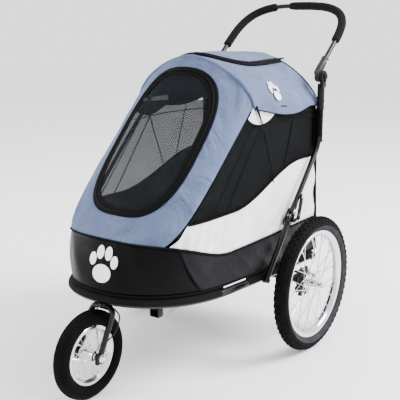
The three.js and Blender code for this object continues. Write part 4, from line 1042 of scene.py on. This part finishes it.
def oval(turn, shrink):
    """A point of the doorway's outline in the leaning plane, as (across, up the lean)."""
    c, s = cos(turn), sin(turn)
    return ((1 if c > 0 else -1) * (DOOR_HALF_WIDTH - shrink) * abs(c) ** (2 / DOOR_POWER),
            (1 if s > 0 else -1) * (DOOR_HALF_HEIGHT - shrink) * abs(s) ** (2 / DOOR_POWER))


def rise_at(x, up):
    """How far up the front the cloth meets a point of the leaning plane, and its share across."""
    low, high = -0.1, 1.1
    for _ in range(24):
        rise = (low + high) / 2
        z = mix(SEAM_FOOT_Z, SEAM_HEAD_Z, rise)
        s = max(-1, min(1, x / wall_x(seam_y(z), z)))
        point = front_point(s, rise) - DOOR_MIDDLE
        if point.y * cos(DOOR_LEAN) + point.z * sin(DOOR_LEAN) < up:
            low = rise
        else:
            high = rise
    return s, rise


def on_front(x, up, out=0.0):
    return front_point(*rise_at(x, up), out)


def front_cloth(u, v):
    """u runs round the doorway and v from its edge out to the panel's own edge."""
    turn = u * 2 * pi
    inner_s, inner_rise = rise_at(*oval(turn, 0))
    reach = max(abs(cos(turn)), abs(sin(turn)))
    outer_s, outer_rise = cos(turn) / reach, 0.5 + 0.5 * sin(turn) / reach
    point = front_point(mix(inner_s, outer_s, v), mix(inner_rise, outer_rise, v))
    slack = sin(pi * v) * (1.5 * sin(9 * turn + 4 * v) + 0.8 * sin(23 * turn + 2))
    return point + Vector((0, -0.8, 0.6)) * slack


bm = bmesh.new()
panel(bm, front_cloth, 160, 14, flat=(1.5, 0.12))
bmesh.ops.remove_doubles(bm, verts=bm.verts, dist=0.05)
sewn("front_cloth", bm, [blue_cloth, slate_lining], "chassis", ["front_panel"],
     folds_down=True)


def ribbon(bm, outer_shrink, inner_shrink, out, around=128, rows=3):
    """A flat tape laid round the doorway between two offsets from its outline."""
    def face(u, v):
        shrink = mix(outer_shrink, inner_shrink, v)
        return on_front(*oval(u * 2 * pi, shrink), out + 0.8 * sin(pi * v))
    panel(bm, face, around, rows, flat=(1.3, 0.02))
    bmesh.ops.remove_doubles(bm, verts=bm.verts, dist=0.05)


bm = bmesh.new()
ribbon(bm, -2, 7.5, 1.6)
tape = finish_piece("doorway_tape", bm, [binding_tape], "chassis", open_sheet=True)
tape.modifiers.new("tape thickness", "SOLIDIFY").thickness = 0.001
collapse(tape)

bm = bmesh.new()
ribbon(bm, 9.5, 24, 1.0)
tape = finish_piece("door_tape", bm, [binding_tape], "door", open_sheet=True)
tape.modifiers.new("tape thickness", "SOLIDIFY").thickness = 0.001
collapse(tape)

door_net = net("sheer_grey_mesh", "#2B3036", "#22262B", 0.82, 2.5)


def door_cloth(u, v):
    """The door's cloth fills the oval; squares about its middle become rounded ovals."""
    a, b = 2 * u - 1, 2 * v - 1
    size = max(abs(a), abs(b))
    if size == 0:
        return on_front(0, 0, -0.4)
    x, up = oval(atan2(b, a), 11)
    return on_front(x * size, up * size, -0.4)


bm = bmesh.new()
panel(bm, door_cloth, 40, 48, flat=(0.28, 0.45))
sewn("sheer_door", bm, [door_net], "door", ["mesh_door"],
     thick=0.6, folds_down=True)

# Nylon coil zip round the doorway, with two pulls at the top left.
coil_nylon, tree, shader = new_material("nylon_coil", "#050506", Roughness=0.55, Specular_IOR_Level=0.08)
place = add_node(tree, "TexCoord").outputs["Object"]
teeth = add_node(tree, "TexNoise", {"Vector": place, "Scale": 1000 / 2.5, "Detail": 1.0}).outputs["Fac"]
bump = add_node(tree, "Bump", {"Height": teeth, "Distance": 0.0008, "Strength": 0.8})
tree.links.new(bump.outputs[0], shader.inputs["Normal"])
shade = add_node(tree, "MixRGB", {"Fac": teeth, "Color1": linear("#020203"), "Color2": linear("#0B0B0D")})
tree.links.new(shade.outputs[0], shader.inputs["Base Color"])

bm = bmesh.new()
tube(bm, [on_front(*oval(i / 128 * 2 * pi, 8.5), 2.2) for i in range(128)], 1.7, 8, closed=True)
zip_line = finish_piece("doorway_zip", bm, [coil_nylon], "chassis")
collapse(zip_line)
bm = bmesh.new()
for turn in (1.93, 2.02):
    spot = on_front(*oval(turn, 8.5), 3.5)
    tilt = Matrix.Rotation(-radians(90) + DOOR_LEAN + 0.3, 4, "X")
    block(bm, spot, (6, 9, 4), 1.5, tilt)
pulls = finish_piece("doorway_pulls", bm, [black_nylon], "chassis")
collapse(pulls)


# ---------------------------------------------------------------- canopy roof
# One curved sheet of blue polyester over the hoop, with a flap hanging over each window. A rigid
# hoop holds its front edge up as a soft ridge, and its back edge is laced to the posts.
ARCH_SHARE, ROOF_HALF = 0.64, 204


def flap_rim(y):
    return 728 - 40 * sin(pi * smooth(y, -260, 330))


def roof_point(u, v, out=0.0):
    across, side = abs(2 * u - 1), 1 if u > 0.5 else -1
    s = sin(min(1, across / ARCH_SHARE) * pi / 2)
    y = mix(hoop_face_y(s) + 1, REAR_Y, v)
    eaves = arch_z(1, v)
    hang = max(0, across - ARCH_SHARE) / (1 - ARCH_SHARE)
    half = ROOF_HALF + out
    if hang > 0:
        # The flap's hem kicks out a little, most at its lowest point.
        z = mix(eaves, min(flap_rim(y), eaves - 4), hang)
        kick = 3.0 * hang * hang * sin(pi * v) + 1.6 * hang * sin(13 * v)
        return Vector((side * (half + kick), y, z))
    sag = -2.4 * sin(pi * v) * (1 - s * s) + 1.6 * sin(9 * v + 7 * side * s) * sin(pi * v)
    fold = 1.5 * sin(26 * (v * 0.6 + 0.4 * s)) * sin(pi * v) * s * s
    return Vector((side * half * s, y, arch_z(s, v) + sag * 0.8 + fold + out))


bm = bmesh.new()
panel(bm, roof_point, 150, 60, middle=Vector((0, 0, 500)), flat=(0.68, 0.36))
sewn("canopy_roof", bm, [blue_cloth, slate_lining], "chassis", ["roof_panel"],
     thick=1.2, folds_down=True)

bm = bmesh.new()
# The ridge over the hoop, a hem along each flap and the binding of the back edge.
ridge = [roof_point(i / 100, 0, -1.0) for i in range(18, 83)]
tube(bm, ridge, 4.2, 12)
ridge_piece = finish_piece("canopy_ridge", bm, [blue_cloth], "chassis")
collapse(ridge_piece)
bm = bmesh.new()
for u in (0, 1):
    tube(bm, [roof_point(u, i / 40, 0.3) + Vector((0, 0, 0.5)) for i in range(41)], 1.6, 8)
tube(bm, [roof_point(i / 100, 1, 0.4) + Vector((0, 1.5, 0)) for i in range(101)], 2.2, 10)
hems = finish_piece("canopy_hems", bm, [binding_tape], "chassis")
collapse(hems)


# ---------------------------------------------------------------- skylight
# A raised panel in the roof, zipped along its front and its left side, that opens to the sky.
# The cloth between its zip tapes stands up a little, because it is cut fuller than the opening.
def share_across(x):
    """The roof grid's u for a distance across."""
    s = max(-1, min(1, x / ROOF_HALF))
    return 0.5 + 0.5 * ARCH_SHARE * asin(s) / (pi / 2)


def on_roof(x, y, out=0.0):
    u = share_across(x)
    s = x / ROOF_HALF
    front = hoop_face_y(s) + 1
    return roof_point(u, (y - front) / (REAR_Y - front), out)


# The zip's line over the roof, from the front round to the back of the left side.
zip_path = through([Vector(p) for p in ((-70, -150, 0), (-30, -162, 0), (15, -150, 0), (52, -118, 0), (76, -70, 0),
                                        (87, -18, 0), (84, 45, 0), (75, 105, 0), (67, 180, 0))], 90)


def skylight_edge(share):
    spot = zip_path[min(90, int(share * 90))]
    return spot.x, spot.y


def skylight_cloth(u, v):
    """u runs along the zip and v from it across to the panel's far right edge."""
    x, y = skylight_edge(u)
    far_x, far_y = -80, mix(-120, 182, u)
    point = on_roof(mix(x, far_x, v), mix(y, far_y, v), 2.0)
    crown = sin(pi * min(1, v * 1.05)) ** 0.6 * (0.25 + 0.75 * sin(pi * min(1, u * 0.95)))
    return point + Vector((0, 0, 11 * crown))


bm = bmesh.new()
panel(bm, skylight_cloth, 60, 30, middle=Vector((0, 0, 500)), flat=(0.38, 0.16))
sewn("skylight", bm, [blue_cloth, slate_lining], "chassis", [],
     thick=1.0, folds_down=True)
bm = bmesh.new()


def zip_tape(u, v):
    """A 24 mm tape lies along the zip's line, half on each side of the coil."""
    spot = zip_path[min(90, round(u * 90))]
    ahead = zip_path[min(90, round(u * 90) + 1)] - zip_path[max(0, round(u * 90) - 1)]
    across = Vector((ahead.y, -ahead.x, 0)).normalized() * (v - 0.5) * 24
    return on_roof(spot.x + across.x, spot.y + across.y, 4.2) + Vector((0, 0, 3 * sin(pi * v)))


panel(bm, zip_tape, 90, 4, middle=Vector((0, 0, 500)), flat=(0.42, 0.024))
tape = finish_piece("skylight_tape", bm, [binding_tape], "chassis", open_sheet=True)
tape.modifiers.new("tape thickness", "SOLIDIFY").thickness = 0.0015
collapse(tape)
bm = bmesh.new()
line = [on_roof(p.x, p.y, 7.0) for p in zip_path]
tube(bm, line, 2.6, 10)
pull = on_roof(67, 178, 6)
block(bm, pull, (9, 16, 6), 2)
block(bm, pull + Vector((3, 12, 1)), (7, 20, 5), 2)
coil = finish_piece("skylight_zip", bm, [coil_nylon], "chassis")
collapse(coil)


# ---------------------------------------------------------------- side gussets and struts
# Under each flap a pale half-moon gusset closes the gap to the window. A webbing strap comes out
# from under the flap's front corner and is drawn down by a thin elastic cord to the band.
def gusset_low(y):
    share = min(1, max(0, (y + 200) / 165))
    return 712 - 33 * sin(pi * share) ** 0.8 * (1 - 0.15 * share) - 14 * (1 - share)


for side, flip in (("left", False), ("right", True)):
    bm = bmesh.new()

    def gusset(u, v):
        y = mix(-205, -40, u)
        z = mix(min(gusset_low(y), 722), 726, v)
        y = max(y, seam_y(z) + 3)
        return Vector((wall_x(y, z) + 0.5 + 0.4 * sin(20 * u + 6 * v), y, z))

    panel(bm, gusset, 40, 12, flat=(0.165, 0.05))
    sewn(side + "_gusset", bm, [pale_cloth], "chassis", [],
         mirror=flip, thick=0.8, folds_down=True)
    bm = bmesh.new()
    tube(bm, [gusset(i / 40, 0) + Vector((0.2, 0, 0)) for i in range(37)], 2.0, 8)
    edge = finish_piece(side + "_gusset_binding", bm, [binding_tape], "chassis", mirror=flip)
    collapse(edge)

    bm = bmesh.new()
    strap = [Vector((207, -165, 728)), Vector((206, -148, 705)), Vector((205, -132, 680)), Vector((204, -120, 655))]
    tube(bm, through(strap, 16), [6 - 4 * i / 16 for i in range(17)], 12, flat=0.25)
    cord_line = [strap[-1], Vector((204, -98, 600)), Vector((204, -75, 545)), Vector((203, -60, 500))]
    tube(bm, through(cord_line, 20), 1.6, 8)
    finished = finish_piece(side + "_strut_strap", bm, [binding_tape], "chassis", mirror=flip)
    collapse(finished)


# ---------------------------------------------------------------- back panel
# A black panel of lined polyester closes the back of the canopy between the posts. It is sewn
# from two halves and edged with a rolled hem.
def back_point(u, v):
    s = 2 * u - 1
    top = arch_z(s, 1) - 1.5
    return Vector((s * 199, REAR_Y - 2 - 2.5 * sin(pi * u) * sin(pi * v), mix(tub_rim(REAR_Y) + 1, top, v)))


bm = bmesh.new()
panel(bm, back_point, 50, 50, flat=(0.39, 0.48))
sewn("back_net", bm, [black_cloth, slate_lining], "chassis", ["rear_panel"],
     thick=0.8, folds_down=True)
bm = bmesh.new()
tube(bm, [back_point(i / 30, 0.45) + Vector((0, 2.5, 0)) for i in range(31)], 2.4, 8)
tube(bm, [back_point(0.5, i / 30) + Vector((0, 2.5, 0)) for i in range(31)], 1.8, 8)
seams = finish_piece("back_seams", bm, [binding_tape], "chassis")
collapse(seams)


# Each post wears a zipped black sleeve with a fin that fills the gap to the cabin.
for side, flip in (("left", False), ("right", True)):
    bm = bmesh.new()
    heights = [564 + 4 * i for i in range(33)]
    tube(bm, [Vector((POST_X, POST_Y, z)) for z in heights[6:]], [9.6 + 0.4 * sin(1.3 * i) for i in range(27)], 20)
    block(bm, (208, POST_Y + 1, 634), (13, 3, 120), 1)
    finish_piece(side + "_post_sleeve", bm, [binding_tape], "push_frame", mirror=flip)


# ---------------------------------------------------------------- canopy hoop
# A spring steel wire sleeved in black, standing in two moulded sockets on the tub's wall. It
# turns in the sockets as the frame folds.
bm = bmesh.new()
hoop_pivot, hoop_elbow = Vector((158, -478, 410)), Vector((176, -330, 548))
hoop_half = [hoop_pivot, hoop_elbow]
for i in range(8):
    s = cos(i / 14 * pi)
    hoop_half.append(Vector((184 * s, hoop_face_y(s) + 16, arch_z(s, 0) - 14)))
tube(bm, through(both_ways(hoop_half), 140), 5.5, 16)
finish_piece("hoop_wire", bm, [powder_coat], "hoop", ["canopy_hoop"])

for side, flip in (("left", False), ("right", True)):
    bm = bmesh.new()
    inner, outer = hoop_pivot.x - 11, wall_x(hoop_pivot.y - 14, hoop_pivot.z) - CLOTH - 4
    block(bm, (inner + 2, -478, 406), (4, 26, 30), 1.5)
    block(bm, (outer - 2, -478, 406), (4, 26, 30), 1.5)
    block(bm, ((inner + outer) / 2, -478, 392.5), (outer - inner, 26, 4), 1.5)
    finish_piece(side + "_socket", bm, [black_nylon], "chassis", [side + "_hoop_socket"], flip)


# ---------------------------------------------------------------- floor
# A board of black polypropylene carries a removable quilted pad of grey fleece, which swells
# between its sewn channels.
def floor_point(across, along, inset, lift, margin):
    edge = tub_point(2 * along, 0, inset)
    y = min(edge.y, REAR_Y - margin)
    return Vector((edge.x * (2 * across - 1), y, loop_z(y) + lift))


bm = bmesh.new()
panel(bm, lambda u, v: floor_point(u, v, CLOTH + 3, 27, 4), 24, 60, middle=Vector((0, -200, 0)), flat=(0.4, 0.7))
board = finish_piece("floor_sheet", bm, [black_nylon], "chassis", ["floor_board"], open_sheet=True)
wall = board.modifiers.new("board thickness", "SOLIDIFY")
wall.thickness = 0.006
wall.offset = -1

# Brushed polyester fleece: soft warm grey with a strong sheen at the edges and clumps 4 mm across.
fleece, tree, shader = new_material("brushed_grey_fleece", "#4C4745", Roughness=0.95, Sheen_Weight=0.2,
                                    Sheen_Roughness=0.6)
place = add_node(tree, "TexCoord").outputs["Object"]
clumps = add_node(tree, "TexNoise", {"Vector": place, "Scale": 1000 / 4, "Detail": 5.0}).outputs["Fac"]
bump = add_node(tree, "Bump", {"Height": clumps, "Distance": 0.002, "Strength": 0.5})
tree.links.new(bump.outputs[0], shader.inputs["Normal"])
spread = add_node(tree, "MapRange", {"Value": clumps, "From Min": 0.35, "From Max": 0.65}).outputs[0]
shade = add_node(tree, "MixRGB", {"Fac": spread, "Color1": linear("#3E3A38"), "Color2": linear("#5A5552")})
tree.links.new(shade.outputs[0], shader.inputs["Base Color"])

bm = bmesh.new()
panel(bm, lambda u, v: floor_point(mix(0.02, 0.98, u), mix(0.06, 0.99, v), CLOTH + 16, 46, 10), 40, 70,
      middle=Vector((0, -200, 0)))
made = bmesh.ops.solidify(bm, geom=bm.faces, thickness=14)
pad = finish_piece("quilted_pad", bm, [fleece], "chassis", ["floor_pad"])


def applied(piece):
    """Bakes a piece's modifiers into its mesh."""
    bpy.context.view_layer.update()
    baked = bpy.data.meshes.new_from_object(piece.evaluated_get(bpy.context.evaluated_depsgraph_get()))
    piece.modifiers.clear()
    piece.data = baked


VOXEL, SWELL = 0.006, 0.006
cover = pad.modifiers.new("cover", "REMESH")
cover.mode = "VOXEL"
cover.voxel_size = VOXEL
applied(pad)
before = [v.co.copy() for v in pad.data.vertices]
stuffing = pad.modifiers.new("stuffing", "CLOTH")
stuffing.settings.use_pressure = True
stuffing.settings.uniform_pressure_force = 4
stuffing.settings.effector_weights.gravity = 0
for frame_number in range(1, 21):
    bpy.context.scene.frame_set(frame_number)
applied(pad)
bpy.context.scene.frame_set(1)
for v, rest in zip(pad.data.vertices, before):
    moved = v.co - rest
    v.co = rest + moved.normalized() * min(moved.length, SWELL)
# Sewn channels across the pad, 70 mm apart, pressed into its top after the stuffing.
for v in pad.data.vertices:
    if v.co.z > loop_z(v.co.y * 1000 - AXLE_Y * 1000) / 1000 + 0.036:
        channel = abs(((v.co.y / 0.07) + 0.5) % 1 - 0.5) * 0.07
        v.co.z -= 0.006 * max(0, 1 - (channel / 0.012) ** 2)
round_off = pad.modifiers.new("round off", "SUBSURF")
round_off.levels = round_off.render_levels = 1
applied(pad)
pad.data.materials.clear()
pad.data.materials.append(fleece)
for face in pad.data.polygons:
    face.use_smooth = True


# ---------------------------------------------------------------- trim on the cloth
# A plain paw print of ellipses, screen printed in white on the front of the tub and on each flap.
# Plastisol ink: opaque white, slightly glossy, with the cloth's weave just telling through it.
ink, tree, shader = new_material("white_plastisol_ink", "#F2F2F2", Roughness=0.5)
place = add_node(tree, "TexCoord").outputs["Object"]
weave = add_node(tree, "TexNoise", {"Vector": place, "Scale": 1000 / 2, "Detail": 2.0}).outputs["Fac"]
shade = add_node(tree, "MixRGB", {"Fac": weave, "Color1": linear("#E4E4E6"), "Color2": linear("#FBFBFB")})
tree.links.new(shade.outputs[0], shader.inputs["Base Color"])

PAW = ((0, -7, 11, 8.5), (-13, 5, 4.2, 6), (-5, 12, 4.4, 6.4), (5, 12, 4.4, 6.4), (13, 5, 4.2, 6))


def paw_print(bm, spot, size):
    """Five flat pads, each laid on the cloth by spot(across, up)."""
    for x, y, wide, high in PAW:
        made = bmesh.ops.create_circle(bm, cap_ends=True, segments=20, radius=1)["verts"]
        for v in made:
            v.co = spot(size * (x + wide * v.co.x), size * (y + high * v.co.y))




def on_nose(x, z):
    """A point just off the belly of the nose panel."""
    foot = loop_z(-585) + 19
    rise = (z - foot) / (tub_rim(-560) - foot)
    power, depth = mix(2.2, RIM_POWER, rise), mix(276, RIM_DEPTH, rise)
    y = NOSE_MID_Y - depth * max(0, 1 - (abs(x) / wall_half(-560, z)) ** power) ** (1 / power)
    return Vector((x, y, z)) + Vector((x, 0.35 * (y + 200), 0)).normalized() * (3 * sin(pi * rise) + 0.9)


bm = bmesh.new()
paw_print(bm, lambda x, y: on_nose(8 + x, 346 + y), 2.7)
for face in bm.faces:
    if face.normal.y > 0:
        face.normal_flip()
finish_piece("tub_print", bm, [ink], "chassis", open_sheet=True)


def on_flap(y, z):
    """A point just off the outside of the canopy's side, above or below its eaves."""
    back = (y - hoop_face_y(1)) / (REAR_Y - hoop_face_y(1))
    base, power, crown = mix(730, 702, back), mix(1.6, 1.5, back), mix(860, 848, back)
    s = max(0, 1 - max(0, (z - base) / (crown - base)) ** power) ** (1 / power)
    return Vector((ROOF_HALF * s + 5.2, y, z + 1))


for side, flip in (("left", False), ("right", True)):
    bm = bmesh.new()
    paw_print(bm, lambda x, y: on_flap(-40 + x, 757 + y), 1.5)
    for face in bm.faces:
        if face.normal.x < 0:
            face.normal_flip()
    mark = finish_piece(side + "_flap_print", bm, [ink], "chassis", mirror=flip, open_sheet=True)
    collapse(mark)
